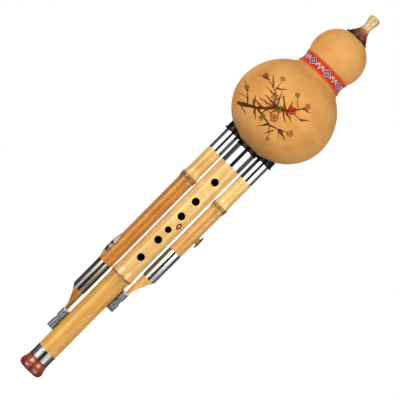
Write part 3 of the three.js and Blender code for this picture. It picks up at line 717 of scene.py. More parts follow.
BLOSSOMS = [
    (-5.5, -7.2, 3.4, 0.3, (0.66, 0.4, 0.2)), (-16.5, 5.5, 3.2, 1.1, (0.6, 0.36, 0.2)),
    (8.2, 18.8, 2.6, 0.7, (0.74, 0.42, 0.24)), (13.2, -7, 3, 1.9, (0.68, 0.42, 0.22)),
    (-22.5, 21.3, 2.3, 0.1, (0.7, 0.44, 0.24)), (-12.5, -13.3, 2.8, 2.3, (0.46, 0.42, 0.1)),
    (1.2, 7.6, 3.6, 1.4, (0.82, 0.16, 0.07)), (-34.2, 14, 2.3, 0.5, (0.42, 0.22, 0.16)),
    (3.4, -22.8, 1.9, 0.9, (0.7, 0.42, 0.24)), (-38, -3.6, 2.2, 1.7, (0.55, 0.5, 0.12)),
    (-4.8, 19.8, 2.2, 0.9, (0.4, 0.42, 0.1)), (-7.5, 1, 3, 0.9, (0.36, 0.38, 0.1)),
]
PAINTING_MIDDLE = LOWER_CENTRE - 4 * MM


def spot(across, up):
    """A point of the painting, which lies in the plane of the pipes' axes."""
    return across * MM, 0.0, PAINTING_MIDDLE + up * MM


def gourd_skin(base):
    """Dried gourd: golden tan with cloudy patches, pores, a browner waist, painted shade that darkens it
    towards the foot, and a painted plum branch on the front."""
    tree, shader = finish(
        "Gourd skin", Roughness=0.55, Specular_IOR_Level=0.1, Coat_Weight=0.05, Coat_Roughness=0.3
    )
    vector = placed(tree)
    wide, small = (use("Soft blotches", Vector=vector, Scale=scale)["Mask"] for scale in (26.0, 95.0))
    pores = use("Speckles", Vector=vector, Scale=1300.0, Limit=0.61)["Mask"]
    dry = use("Speckles", Vector=vector, Scale=900.0, Limit=0.58)["Mask"]
    waist = use("Ring band", Vector=vector, Height=low("waist_ribbon") - 7 * MM, Spread=9 * MM)["Mask"]
    # Painted shade: the lower bulb darkens towards its foot, as under light from above
    foot = between(split(vector)[2], LOWER_CENTRE - 22 * MM, LOWER_CENTRE - 44 * MM)
    layers = [
        (wide * 0.62, (0.8, 0.51, 0.21)),
        (small * 0.34, (0.93, 0.71, 0.42)),
        (pores * 0.28, (0.55, 0.32, 0.12)),
        (waist * 0.25, (0.78, 0.49, 0.2)),
        (foot * 0.5, (0.52, 0.36, 0.2)),
    ]
    # The painting, drawn on coordinates that a little noise makes uneven
    wobble = vary("SUBTRACT", noise(vector, 260.0, 2.0, output="Color"), (0.5, 0.5, 0.5))
    brushed = vary("ADD", vector, vary("SCALE", wobble, Scale=2.2 * MM))
    worn = 0.98 - dry * 0.3
    for inks, table in ((LEAF_INK, [(*row, LEAF_TIP) for row in LEAVES]), (BRANCH_INK, BRANCHES)):
        rows = [(spot(a, b), spot(c, d), width * MM, tip) for a, b, c, d, width, tip in table]
        layers.append((strokes(brushed, rows) * worn, blend(small, *inks)))
    for across, up, size, turn, tint in BLOSSOMS:
        parts = use("Blossom", Vector=brushed, Centre=spot(across, up), Size=size * MM, Turn=turn)
        layers += [
            (parts["Petals"] * 0.75, tint),
            (parts["Edge"] * 0.9, (0.34, 0.14, 0.03)),
            (parts["Heart"] * 0.9, (0.25, 0.1, 0.05)),
        ]
    surface(shader, painted(base, *layers), noise(vector, 700.0), 0.06)


def ribbon_weave():
    """A woven band on the piece's own UV map: u goes round, v across. Steps of one thread turn the figures
    into weaving: a diamond |p| + |q| and a white zigzag q = triangle(p), repeated round the waist."""
    repeats, warps, wefts = 8, 36.0, 24.0
    tree, shader = finish("Woven ribbon", Roughness=0.8, Sheen_Weight=0.15, Sheen_Roughness=0.4)
    u, v, _ = split(put(tree, "ShaderNodeUVMap", uv_map="Surface"))
    threads = u * (repeats * warps) + 6.0
    p = calc("FRACT", calc("FLOOR", threads) / warps) * 16.0
    q = (calc("FLOOR", v * wefts) / (wefts - 1) - 0.5) * 10.0
    up = abs(q)
    diamond = abs(p - 4.0) / 3.9 + up / 2.75
    line = abs(q - (calc("PINGPONG", p - 8.0, 2.0) * 1.8 - 1.8))
    inside, border = p > 8.2, up > 2.9
    spots = inside * (up < 2.6)
    weave = abs(calc("SINE", threads * math.pi)) * abs(calc("SINE", v * (wefts * math.pi)))
    shade = painted(
        (0.8, 0.13, 0.12),
        (spots * (q < -0.6) * 0.85, (0.8, 0.12, 0.3)),
        (spots * (q > 0.6) * 0.6, (0.95, 0.56, 0.12)),
        (diamond < 1.0, (0.3, 0.1, 0.32)),
        (diamond < 0.55, (0.9, 0.7, 0.78)),
        (diamond < 0.3, (0.24, 0.08, 0.28)),
        ((diamond > 1.0) * (diamond < 1.22) * 0.9, (0.95, 0.9, 0.88)),
        (inside * (line < 0.62), (0.97, 0.94, 0.9)),
        (border, (0.98, 0.33, 0.1)),
        (border * (up < 3.3) * 0.85, (0.5, 0.09, 0.08)),
        # Painted shade in the gaps between the threads
        (0.4 - weave * 0.4, (0.3, 0.06, 0.08)),
    )
    surface(shader, shade, weave, 0.5)


def hazy_resin(base):
    """Translucent cap: cloudy resin, dark brown where the two pegs stand behind it."""
    tree, shader = finish("Hazy resin", Roughness=0.25, Transmission_Weight=0.15, IOR=1.3)
    vector = placed(tree)
    aside = split(vector)[1] / (6 * MM)
    centred = calc("EXPONENT", aside * aside * -1.0)
    layers = []
    for rise, spread in ((2.2, 1.6), (-4.0, 3.0)):
        ring = use("Ring band", Vector=vector, Height=CAP_MIDDLE + rise * MM, Spread=spread * MM)["Mask"]
        layers.append((calc("MULTIPLY", ring * centred, 1.6, clamp=True), (0.2, 0.08, 0.01)))
    shade = blend(noise(vector, 500.0), [c * 0.8 for c in base], base)
    surface(shader, painted(shade, *layers), noise(vector, 300.0), 0.1)


def height_stops(name, low_z, high_z, colours, **settings):
    """A resin or lacquer whose colour changes with height, with clouds in it."""
    tree, shader = finish(name, **settings)
    vector = placed(tree)
    cloud = (noise(vector, 160.0) - 0.5) * 0.16
    part = (split(vector)[2] - low_z) / (high_z - low_z) + cloud
    surface(shader, stops(part, *((position, linear(shade)) for position, *shade in colours)))


def materials():
    """All finishes, made once."""
    look = bpy.context.scene.hulusi_finishes
    shared_effects()
    shader = bamboo_skin(
        "Spotted bamboo", look.bamboo, look.bamboo_low, MAIN_NODE, deep=(0.79, 0.47, 0.13),
        pale=(0.99, 0.86, 0.58), speckle=0.22,
        lines=[(MAIN_NODE, 0.6 * MM, 1.0), (MAIN_NODE + 0.9 * MM, 0.9 * MM, 0.35)],
        flame=0.7, sides=0.45, warm=0.25, line_colour=(0.5, 0.26, 0.03),
    )
    burnt_mark(shader, 4.6 * MM, SHOULDER - 66.8 * MM)
    lines = [
        (DRONE_NODE + MM, 0.5 * MM, 1.0), (DRONE_NODE - MM, 0.5 * MM, 0.95), (DRONE_NODE, 1.6 * MM, 0.35),
    ]
    tail = (low("left_lower_sleeve") - 12 * MM, 14 * MM, 0.42)
    bamboo_skin(
        "Amber bamboo", (0.96, 0.78, 0.46), look.long_drone, DRONE_NODE, deep=(0.62, 0.34, 0.06),
        pale=(0.88, 0.62, 0.26), speckle=0.2, lines=[*lines, tail], flame=0.6,
    )
    bamboo_skin(
        "Honey bamboo", look.bamboo, look.short_drone, DRONE_NODE, deep=(0.74, 0.5, 0.2),
        pale=(0.95, 0.78, 0.48), speckle=0.2, lines=lines, flame=0.5,
    )
    sawn_bamboo()
    plain("Burnt bamboo", (0.13, 0.075, 0.05), 0.75, 0.5)
    gourd_skin(look.gourd)
    plain("Gourd inside", (0.78, 0.66, 0.46), 0.9, 0.3)
    plain("Polished steel", look.steel, 0.07, 0.03, 200.0, 0.0, Metallic=1.0)
    plain("Worn steel", (0.75, 0.75, 0.74), 0.18, 0.3, 500.0, 0.0, Metallic=1.0)
    plain("Dull steel", (0.49, 0.475, 0.44), 0.2, 0.3, 500.0, 0.0, Metallic=1.0)
    grey_casting(look.casting)
    plain(
        "Black resin", look.black, 0.28, 0.3, 300.0, 0.0, Specular_IOR_Level=0.08, Coat_Weight=0.12,
        Coat_Roughness=0.08,
    )
    bell = [
        (0.0, 0.36, 0.09, 0.04), (0.3, 0.52, 0.15, 0.07), (0.5, 0.52, 0.19, 0.07), (0.7, 0.58, 0.27, 0.11),
        (1.0, 0.42, 0.17, 0.05),
    ]
    height_stops(
        "Red lacquer", low("tail_bell"), high("tail_bell"), bell, Roughness=0.4, Specular_IOR_Level=0.2,
        Coat_Weight=0.8, Coat_Roughness=0.08,
    )
    amber = [
        (0.0, 0.36, 0.12, 0.04), (0.15, 0.46, 0.18, 0.05), (0.3, 0.62, 0.32, 0.11), (0.48, 0.8, 0.69, 0.5),
        (0.75, 0.8, 0.7, 0.5), (1.0, 0.78, 0.67, 0.42),
    ]
    height_stops(
        "Amber resin", NECK_TOP - 3 * MM, high("mouthpiece"), amber, Roughness=0.3, Specular_IOR_Level=0.3,
        Coat_Weight=0.35, Coat_Roughness=0.2,
    )
    plain("Cork", look.cork, 0.85, 0.45, 900.0, 0.4)
    plain("Brass", look.brass, 0.28, 0.1, 900.0, 0.05, Metallic=1.0)
    plain("Dark wood", look.dark_wood, 0.4, 0.4, 500.0)
    hazy_resin(look.haze)
    ribbon_weave()


def skin(name):
    """A finish by name."""
    if name not in bpy.data.materials:
        materials()
    return bpy.data.materials[name]


# Turned pieces of the tail


class HULUSI_OT_tail(Operator):
    """Turns the lacquered bell and the steel ring round the tail"""

    bl_idname = "hulusi.tail"
    bl_label = "Tail bell and ring"

    def execute(self, context):
        lip, flare_top, waist, top, seat = 4.4, 12.7, 9.9, 13, 4
        t = np.linspace(0, 1, 15)[1:, None]
        outline = np.concatenate(
            [
                rounded([(6.5, seat), (7.4, 0, 0.5), (9.2, 0)]),
                arc(9.2, lip, 2.45, lip, -90, 0, 12)[1:],
                np.concatenate([waist + 1.75 * (1 - t) ** 2, lip + (flare_top - lip) * t], axis=1),
                rounded([(waist, 12.8), (waist, top, 0.15), (9, top), (9, seat)]),
                [(6.5, seat)],
            ]
        )
        lathe("lacquered_bell", outline * MM, "pipes", "tail_bell", "red_wood", "Red lacquer")
        foot, top = low("tail_ring") / MM, RING_TOP / MM
        ring = ring_of([(9.7, foot, 0.3), (9.7, top, 0.3), (9, top), (9, foot)])
        lathe("steel_tail_ring", ring, "pipes", "tail_ring", "steel", "Worn steel")
        return {"FINISHED"}


# Main pipe


def bamboo_radius(z, lower, upper, node, peak, rise, fall, half):
    """Radius of a bamboo wall at a height. Above the node the wall flares out to the peak as
    (1 - d / rise)^2, below it as (1 - d / fall)^1.5, where d is the distance from the node's ring; the ring
    is two half widths tall, and a narrow groove of exp(-(d / w)^2) runs along each of its edges."""
    above = np.clip(1 - (z - node - half) / rise, 0, 1) ** 2
    below = np.clip(1 - (node - half - z) / fall, 0, 1) ** 1.5
    base = np.where(z > node, upper + (peak - upper) * above, lower + (peak - 0.02 * peak - lower) * below)
    deep, wide = 0.4 * MM, 0.3 * MM
    for edge in {node - half, node + half}:
        base = base - deep * np.exp(-(((z - edge) / wide) ** 2))
    return base


def wall_lines(foot, top, node, rise, fall, blocks):
    """Heights of the rings of a wall: even steps, fine ones round the node, and the lines of each hole's
    block. Gives the heights and, for each hole, the first and last line of its block."""
    even = np.linspace(foot, top, 41)
    fine = node + np.concatenate([np.linspace(-fall, rise, 33), np.linspace(-2.1, 2.1, 29) * MM])
    free = np.concatenate([even, fine])
    for block in blocks:
        free = free[(free < block[0] - 0.4 * MM) | (free > block[-1] + 0.4 * MM)]
    free = np.unique(np.concatenate([free, [foot, top]]).round(7))
    lines = np.unique(np.concatenate([free, *blocks]))
    lines = lines[np.concatenate([[True], np.diff(lines) > 1e-6])]
    spans = [[int(np.argmin(abs(lines - end))) for end in (block[0], block[-1])] for block in blocks]
    return lines, spans


def pierced_wall(shell, shape, bore, angles, foot, top, holes, edge, marks):
    """Adds a bamboo pipe's outer and inner walls with round holes and the rounded, burnt walls of the holes.
    A hole's wall runs along its own axis: across = rho cos a, up = rho sin a, and the depth follows from
    the pipe's radius there, sqrt(R^2 - across^2)."""
    skin_mark, rim_mark, hole_mark = marks
    cells = holes[0]["columns"][1] - holes[0]["columns"][0]
    blocks = [hole["z"] + np.linspace(-hole["half"], hole["half"], cells + 1) for hole in holes]
    lines, spans = wall_lines(foot, top, shape["node"], shape["rise"], shape["fall"], blocks)

    def outer_radius(z):
        return bamboo_radius(z, **shape)

    def inner_radius(z):
        return bore + 0 * z

    def wall(radius_of):
        return lambda a, z: stack(radius_of(z) * np.cos(a), radius_of(z) * np.sin(a), z)

    def rim(hole, radius_of, grow):
        def at(around):
            across = (hole["radius"] + grow) * np.cos(around)
            z = hole["z"] + (hole["radius"] + grow) * np.sin(around)
            return hole["angle"] + np.arcsin(across / radius_of(z)), z

        return at

    outer, inner = [], []
    for hole, span in zip(holes, spans):
        outer.append((*hole["columns"], *span, rim(hole, outer_radius, edge)))
        inner.append((*hole["columns"], *span, rim(hole, inner_radius, 0)))
        around = rim_angles(cells)[None]
        t = np.linspace(0, math.pi / 2, 6)[:, None]
        rho = np.concatenate([hole["radius"] + edge * (1 - np.sin(t)), [[hole["radius"]]]])
        drop = np.concatenate([edge * (1 - np.cos(t)), [[0.0]]])
        across, up = rho * np.cos(around), hole["z"] + rho * np.sin(around)
        reach = outer_radius(up) - drop
        reach[-1] = bore
        depth = np.sqrt(reach**2 - across**2)
        c, s = math.cos(hole["angle"]), math.sin(hole["angle"])
        points = stack(depth * c - across * s, depth * s + across * c, up)
        shell.grid(points[:5], rim_mark)
        shell.grid(points[4:], hole_mark)
    drilled(shell, wall(outer_radius), angles, lines, outer, skin_mark)
    drilled(shell, wall(inner_radius), angles, lines, inner, hole_mark, rings=2)


def tenon(upper, bore, radius, easing):
    """Outline of a pipe's top from its last wall line over the shoulder and the tenon down into the bore."""
    return rounded(
        [
            (upper, SHOULDER - easing), (upper, SHOULDER, easing), (radius, SHOULDER),
            (radius, TENON_TOP, easing - 0.1 * MM), (bore, TENON_TOP), (bore, SHOULDER - easing),
        ]
    )


class HULUSI_OT_main_pipe(Operator):
    """Builds the spotted bamboo pipe with its tone holes and node"""

    bl_idname = "hulusi.main_pipe"
    bl_label = "Main pipe"

    def execute(self, context):
        sizes = context.scene.hulusi_pipes
        centres = (-math.pi / 2, math.pi / 2)
        half, easing = 1.45 * sizes.hole, 0.4 * MM
        angles, columns = hole_angles(centres, half / sizes.lower, 12, 28)
        front, back = 0, 1
        rows = [(drop, front, sizes.hole) for drop in (19, 41.9, 59.2, 87, 107.7)]
        rows += [(75.1, front, sizes.small_hole), (8.5, back, sizes.hole), (165, back, sizes.small_hole)]
        holes = [
            {
                "z": SHOULDER - drop * MM, "angle": centres[place], "radius": radius, "half": half,
                "columns": columns[place],
            }
            for drop, place, radius in rows
        ]
        shape = {
            "lower": sizes.lower, "upper": sizes.upper, "node": MAIN_NODE, "peak": 11 * MM,
            "rise": 10.5 * MM, "fall": 3 * MM, "half": 0.0,
        }
        shell = Shell()
        foot, bore, seat, tail_end = RING_TOP, sizes.bore, 8.7 * MM, 4 * MM
        pierced_wall(
            shell, shape, bore, angles, foot, SHOULDER - easing, holes, sizes.hole_edge, (0, 1, 2)
        )
        tail = [(sizes.lower, foot), (seat, foot), (seat, tail_end), (bore, tail_end), (bore, foot)]
        shell.grid(turned(tail, angles), 1)
        shell.grid(turned(tenon(sizes.upper, bore, 7.7 * MM, easing), angles), 1)
        finishes = ("Spotted bamboo", "Sawn bamboo", "Burnt bamboo")
        fit("spotted_bamboo_pipe", shell, "pipes", "main_pipe", "bamboo", *finishes, sharp=50)
        return {"FINISHED"}


# Drone pipes, their sleeves, clips and screws


DRONES = {
    "left": {
        "side": -1, "upper": 6.65 * MM, "lower": 6.8 * MM, "node": 8.05 * MM, "sleeve": 6.6 * MM,
        "skin": "Amber bamboo", "slot": "dark_bamboo", "name": "long", "steel": "Dull steel",
        "drills": [(CAP_MIDDLE + PEG_RISES["upper"], 1.6 * MM), (CAP_MIDDLE + PEG_RISES["lower"], 2.0 * MM)],
    },
    "right": {
        "side": 1, "upper": 6.45 * MM, "lower": 6.35 * MM, "node": 7.6 * MM, "sleeve": 6.4 * MM,
        "skin": "Honey bamboo", "slot": "bamboo", "name": "short", "steel": "Worn steel",
        "drills": [(HEAD_MIDDLE, 3.2 * MM)],
    },
}
TAIL_BORE = 2.7 * MM
TONGUE_EDGE = 2.7 * MM
BEVEL_TURN = 14 * MM


def bevel_path(key, t):
    """The slanting cut at t from 0 to 1: a quadratic curve from the sleeve's outer wall down to the tongue's
    edge, x = -e + (R + e) (1 - t)^2 and z = start - 2 h t + t^2 (2 h + foot - start)."""
    start, foot = low(f"{key}_lower_sleeve") + 1.6 * MM, high(f"{key}_tail_clip")
    x = -TONGUE_EDGE + (DRONES[key]["sleeve"] + TONGUE_EDGE) * (1 - t) ** 2
    z = start - 2 * BEVEL_TURN * t + t**2 * (2 * BEVEL_TURN + foot - start)
    return x, z


def bevel_steps(key, radius, marks):
    """Values of t for a wall of that radius, from the first touch to the foot, through the given x marks."""
    span = DRONES[key]["sleeve"] + TONGUE_EDGE
    through = [1 - math.sqrt((x + TONGUE_EDGE) / span) for x in (radius, *marks)]
    return np.unique(np.concatenate([np.linspace(through[0], 1, 41), through]))


def open_rows(radius, gap, heights, sides, side):
    """Rows of arcs that leave a gap of their own half angle open towards a side: gap + (2 pi - 2 gap) s."""
    a = gap[:, None] + (2 * math.pi - 2 * gap[:, None]) * np.linspace(0, 1, sides + 1)
    r = np.reshape(radius, (-1, 1))
    return stack(side * r * np.cos(a), r * np.sin(a), heights[:, None])


def drone_tail(shell, key, radius):
    """Adds the tongue that the slanting cut leaves: its round back, its two sawn faces and the open bore."""
    side = DRONES[key]["side"]
    t = bevel_steps(key, radius, [TAIL_BORE])
    x, z = bevel_path(key, t)
    outer, inner = (
        open_rows(wall, np.arccos(np.clip(x / wall, -1, 1)), z, sides, side)
        for wall, sides in ((radius, 64), (TAIL_BORE, 32))
    )
    shell.grid(outer, 0)
    shell.grid(inner, 1)
    reach, near = (np.sqrt(np.maximum(wall**2 - x**2, 0))[:, None] for wall in (radius, TAIL_BORE))
    steps = np.linspace(0, 1, 7)
    for sign in (-1, 1):
        y = sign * (reach * (1 - steps) + near * steps)
        shell.grid(stack(side * x[:, None], y, z[:, None]), 1)
    foot = outer[-1]
    hub = (side * -0.8 * radius, 0, z[-1])
    shell.fan(foot, hub, 3, 1)
    bend = np.array([side * x[-1], 0, z[-1]])
    chord = [foot[-1] + (bend - foot[-1]) * steps[:, None], bend + (foot[0] - bend) * steps[1:, None]]
    shell.fan(np.concatenate(chord), hub, 3, 1)


class HULUSI_OT_drones(Operator):
    """Builds both drone pipes with their nodes, slanting tails and stopper holes"""

    bl_idname = "hulusi.drones"
    bl_label = "Drone pipes"

    def execute(self, context):
        bore = context.scene.hulusi_pipes.drone_bore
        spread, cells, easing = 1.4, 10, 0.3 * MM
        for key, drone in DRONES.items():
            side, lower = drone["side"], drone["lower"]
            outward = 0.0 if side > 0 else math.pi
            widest = spread * max(radius for _, radius in drone["drills"])
            angles, (columns,) = hole_angles([outward], widest / lower, cells, 62)
            holes = [
                {"z": z, "angle": outward, "radius": radius, "half": spread * radius, "columns": columns}
                for z, radius in drone["drills"]
            ]
            shape = {
                "lower": lower, "upper": drone["upper"], "node": DRONE_NODE, "peak": drone["node"],
                "rise": 6.5 * MM, "fall": 5 * MM, "half": MM,
            }
            sleeve_top = high(f"{key}_lower_sleeve")
            foot = sleeve_top + easing
            shell = Shell()
            pierced_wall(
                shell, shape, bore, angles, foot, SHOULDER - easing, holes, 0.15 * MM, (0, 0, 1)
            )
            tail_radius, septum = drone["sleeve"] - 0.55 * MM, sleeve_top - 16 * MM
            neck = rounded([(lower, foot), (lower, sleeve_top, easing), (tail_radius, sleeve_top)])
            shell.grid(turned(neck, angles), 0)
            shell.grid(turned(tenon(drone["upper"], bore, 4.7 * MM, easing), angles), 1)
            shell.grid(turned([(bore, foot), (bore, septum), (0, septum)], angles), 1)
            drone_tail(shell, key, tail_radius)
            start = bevel_path(key, bevel_steps(key, tail_radius, [])[0])[1]
            plug_top = start + 4 * MM
            solid = [(tail_radius, start), (tail_radius, sleeve_top), (0, sleeve_top)]
            plug = [(TAIL_BORE, start), (TAIL_BORE, plug_top), (0, plug_top)]
            for outline, sides, mark in ((solid, 64, 0), (plug, 32, 1)):
                shell.grid(turned(outline, circle(sides)) * [side, 1, 1], mark)
            name, finishes = f"{drone['name']}_drone_bamboo", (drone["skin"], "Sawn bamboo")
            shell.move(side * DRONE_OFFSET)
            fit(name, shell, "pipes", f"{key}_drone", drone["slot"], *finishes, sharp=50)
        return {"FINISHED"}


class HULUSI_OT_sleeves(Operator):
    """Builds the thin steel sleeves of the drones' tails, cut to the same slant"""

    bl_idname = "hulusi.sleeves"
    bl_label = "Lower sleeves"

    def execute(self, context):
        for key, drone in DRONES.items():
            side, outer = drone["side"], drone["sleeve"]
            foot, top = low(f"{key}_lower_sleeve"), high(f"{key}_lower_sleeve")
            steps = np.linspace(0, 1, 401)
            last = np.interp(-foot, -bevel_path(key, steps)[1], steps)
            x, z = bevel_path(key, np.linspace(0, last, 13))
            gap = np.append(np.arccos(np.clip(x / outer, -1, 1))[::-1], [0, 0, 0])
            heights = np.append(z[::-1], [top - 0.3 * MM, top - 0.1 * MM, top])
            radii = np.full(len(heights), outer)
            radii[-2:] -= [0.03 * MM, 0.2 * MM]
            walls = [open_rows(radius, gap, heights, 96, side) for radius in (radii, outer - 0.4 * MM)]
            shell = Shell().grid(walls[0]).grid(walls[1])
            for edge in (0, -1):
                shell.grid(np.stack([wall[edge] for wall in walls]))
                shell.grid(np.stack([wall[:, edge] for wall in walls]))
            name = f"{drone['name']}_drone_sleeve"
            shell.move(side * DRONE_OFFSET)
            fit(name, shell, "pipes", f"{key}_lower_sleeve", "steel", drone["steel"])
        return {"FINISHED"}


class HULUSI_OT_clips(Operator):
    """Builds the cast clips that hold the drones' tails, and their cross-head screws"""

    bl_idname = "hulusi.clips"
    bl_label = "Tail clips and screws"

    def execute(self, context):
        centre, saddle, seat, pocket, half, cells = 12.75 * MM, 9.9 * MM, 14.9 * MM, 1.7 * MM, 2.5 * MM, 8
        share_half, side_cells = 0.14, 10
        for key, drone in DRONES.items():
            side, node = drone["side"], f"{key}_tail_clip"
            foot, top = low(node), high(node)
            centre_z = (foot + top) / 2

            def radius_at(z):
                waist = 3.65 * MM - 0.7 * MM * (1 - ease(np.abs(z - centre_z) / (3.4 * MM)))
                near = np.clip(np.minimum(z - foot, top - z) / (0.4 * MM), 0, 1)
                return waist - 0.4 * MM * (1 - np.sqrt(near * (2 - near)))

            def gap_of(r):
                return np.arccos((centre**2 + r**2 - saddle**2) / (2 * centre * r))

            def outside(u, z):
                r = radius_at(z)
                gap = gap_of(r)
                a = gap + (2 * math.pi - 2 * gap) * u
                return stack(side * (centre - r * np.cos(a)), r * np.sin(a), z)

            def rim(around):
                z = centre_z + pocket * np.sin(around)
                r = radius_at(z)
                gap = gap_of(r)
                a = math.pi + np.arcsin(pocket * np.cos(around) / r)
                return (a - gap) / (2 * math.pi - 2 * gap), z

            block = centre_z + np.linspace(-half, half, cells + 1)
            ends = np.concatenate([np.linspace(0, 0.4, 5), [1.0, 3.0, 5.0, 6.5]]) * MM
            lines = np.unique(np.concatenate([foot + ends, block, top - ends]).round(8))
            first, last = (int(np.argmin(abs(lines - edge))) for edge in (block[0], block[-1]))
            u_lines = np.concatenate(
                [
                    np.linspace(0, 0.5 - share_half, side_cells + 1),
                    0.5 + np.linspace(-share_half, share_half, cells + 1)[1:-1],
                    np.linspace(0.5 + share_half, 1, side_cells + 1),
                ]
            )
            shell = Shell()
            hole = (side_cells, side_cells + cells, first, last, rim)
            drilled(shell, outside, u_lines, lines, [hole], 0, 3)
            mouth = outside(*rim(rim_angles(cells)))
            floor = mouth.copy()
            floor[:, 0] = side * seat
            hub = np.broadcast_to([side * seat, 0, centre_z], floor.shape)
            shell.grid(np.stack([mouth, floor, hub]))
            r = radius_at(lines)
            turn = np.arcsin(r * np.sin(gap_of(r)) / saddle)[:, None]
            a = -turn + 2 * turn * np.linspace(0, 1, 13)
            back = stack(side * saddle * np.cos(a), -saddle * np.sin(a), lines[:, None])
            shell.grid(back)
            u, v = np.meshgrid(u_lines, lines, indexing="ij")
            body = outside(u, v)
            for row in (0, -1):
                loop = np.concatenate([body[:, row], back[row, ::-1]])
                shell.fan(loop, (side * centre, 0, lines[row]), 3)
            fit(f"{drone['name']}_drone_clip", shell, "pipes", node, "cast_metal", "Grey casting")

            shank, head_radius, foot_x = 0.8 * MM, 1.4 * MM, 7.4 * MM
            t = np.linspace(1, 0, 9)
            dome = np.stack([head_radius * t, seat + 0.8 * MM * np.sqrt(1 - t**2)], axis=-1)
            stem = [(0, foot_x), (shank, foot_x), (shank, seat), (head_radius, seat)]
            points = turned_sideways(np.concatenate([stem, dome]), circle(32), side, 0.0, centre_z)
            y, z = abs(points[..., 1]), abs(points[..., 2] - centre_z)
            crossed = (np.minimum(y, z) < 0.22 * MM) & (np.hypot(y, z) < 0.9 * MM)
            sunk = crossed & (abs(points[..., 0]) > seat + 0.4 * MM)
            points[..., 0] -= side * 0.35 * MM * sunk
            screw = Shell().grid(points)
            name = f"{drone['name']}_clip_screw"
            fit(name, screw, "pipes", f"{key}_clip_screw", "cast_metal", "Grey casting")
        return {"FINISHED"}


# Corks and ferrules

# The three sockets: axis, then millimetres of ferrule, neck, cork, flange and tenon radius and neck height
SOCKETS = {
    "main": (0.0, 9.85, 8.6, 8.7, 7.0, 7.7, 7.6),
    "left": (-DRONE_OFFSET, 6.5, 5.4, 5.6, 4.2, 4.7, 9.0),
    "right": (DRONE_OFFSET, 6.5, 5.4, 5.6, 4.2, 4.7, 9.0),
}


class HULUSI_OT_sockets(Operator):
    """Turns the polished upper ferrules and the corks on the pipes' tenons"""

    bl_idname = "hulusi.sockets"
    bl_label = "Ferrules and corks"

    def execute(self, context):
        gap, foot = 0.3, SHOULDER / MM
        cork_top, seat = foot + 12, foot + 16.8
        for key, (x, radius, neck, cork, flange, core, rise) in SOCKETS.items():
            end = high(f"{key}_ferrule") / MM
            outline = ring_of(
                [
                    (radius, foot, 0.35), (radius, end - rise, 0.3), (neck, end - rise), (neck, end, 0.2),
                    (flange + gap, end, 0.2), (flange + gap, seat), (cork + gap, seat),
                    (cork + gap, foot, 0.25),
                ]
            )
            name, node = f"steel_{key}_ferrule", f"{key}_ferrule"
            lathe(name, outline, "gourd_head", node, "steel", "Polished steel", x=x)
            outline = ring_of(
                [(cork, foot, 0.2), (cork, cork_top, 0.6), (core + gap, cork_top, 0.2), (core + gap, foot)]
            )
            lathe(f"{key}_tenon_cork", outline, "pipes", f"{key}_cork", "cork", "Cork", x=x, sides=64)
        return {"FINISHED"}


# Gourd, collar, ribbon and neck ring


def waist_curve(sizes):
    """The waist's circle, which touches both bulbs from outside: how far out and how high its centre lies."""
    spacing = UPPER_CENTRE - LOWER_CENTRE
    a, b = sizes.lower + sizes.fillet, sizes.upper + sizes.fillet
    rise = (a**2 - b**2 + spacing**2) / (2 * spacing)
    return math.sqrt(a**2 - rise**2), rise


def gourd_path(sizes, offset, scale=1):
    """The gourd's outline from its lower pole to the neck: a flattened quarter ellipse, the lower bulb's arc,
    the waist's arc and the upper bulb's arc, all moved out by offset."""
    lower, upper, waist = sizes.lower + offset, sizes.upper + offset, sizes.fillet - offset
    out, rise = waist_curve(sizes)
    first = math.degrees(math.atan2(rise, out))
    second = math.degrees(math.atan2(rise - (UPPER_CENTRE - LOWER_CENTRE), out))
    top = math.degrees(math.acos(sizes.neck_hole / upper))
    return np.concatenate(
        [
            arc(0, LOWER_CENTRE, lower, GOURD_FOOT_DEPTH + offset, -90, 0, int(40 * scale)),
            arc(0, LOWER_CENTRE, lower, lower, 0, first, int(24 * scale))[1:],
            arc(out, LOWER_CENTRE + rise, waist, waist, first - 180, second - 180, int(20 * scale))[1:],
            arc(0, UPPER_CENTRE, upper, upper, second, top, int(40 * scale))[1:],
        ]
    )


def gourd_under(sizes, x, y, offset=GOURD_GAP):
    """Height of the gourd's underside, moved out by offset, above a point in plan."""
    lower, depth = sizes.lower + offset, GOURD_FOOT_DEPTH + offset
    return LOWER_CENTRE - depth * np.sqrt(1 - (x**2 + y**2) / lower**2)


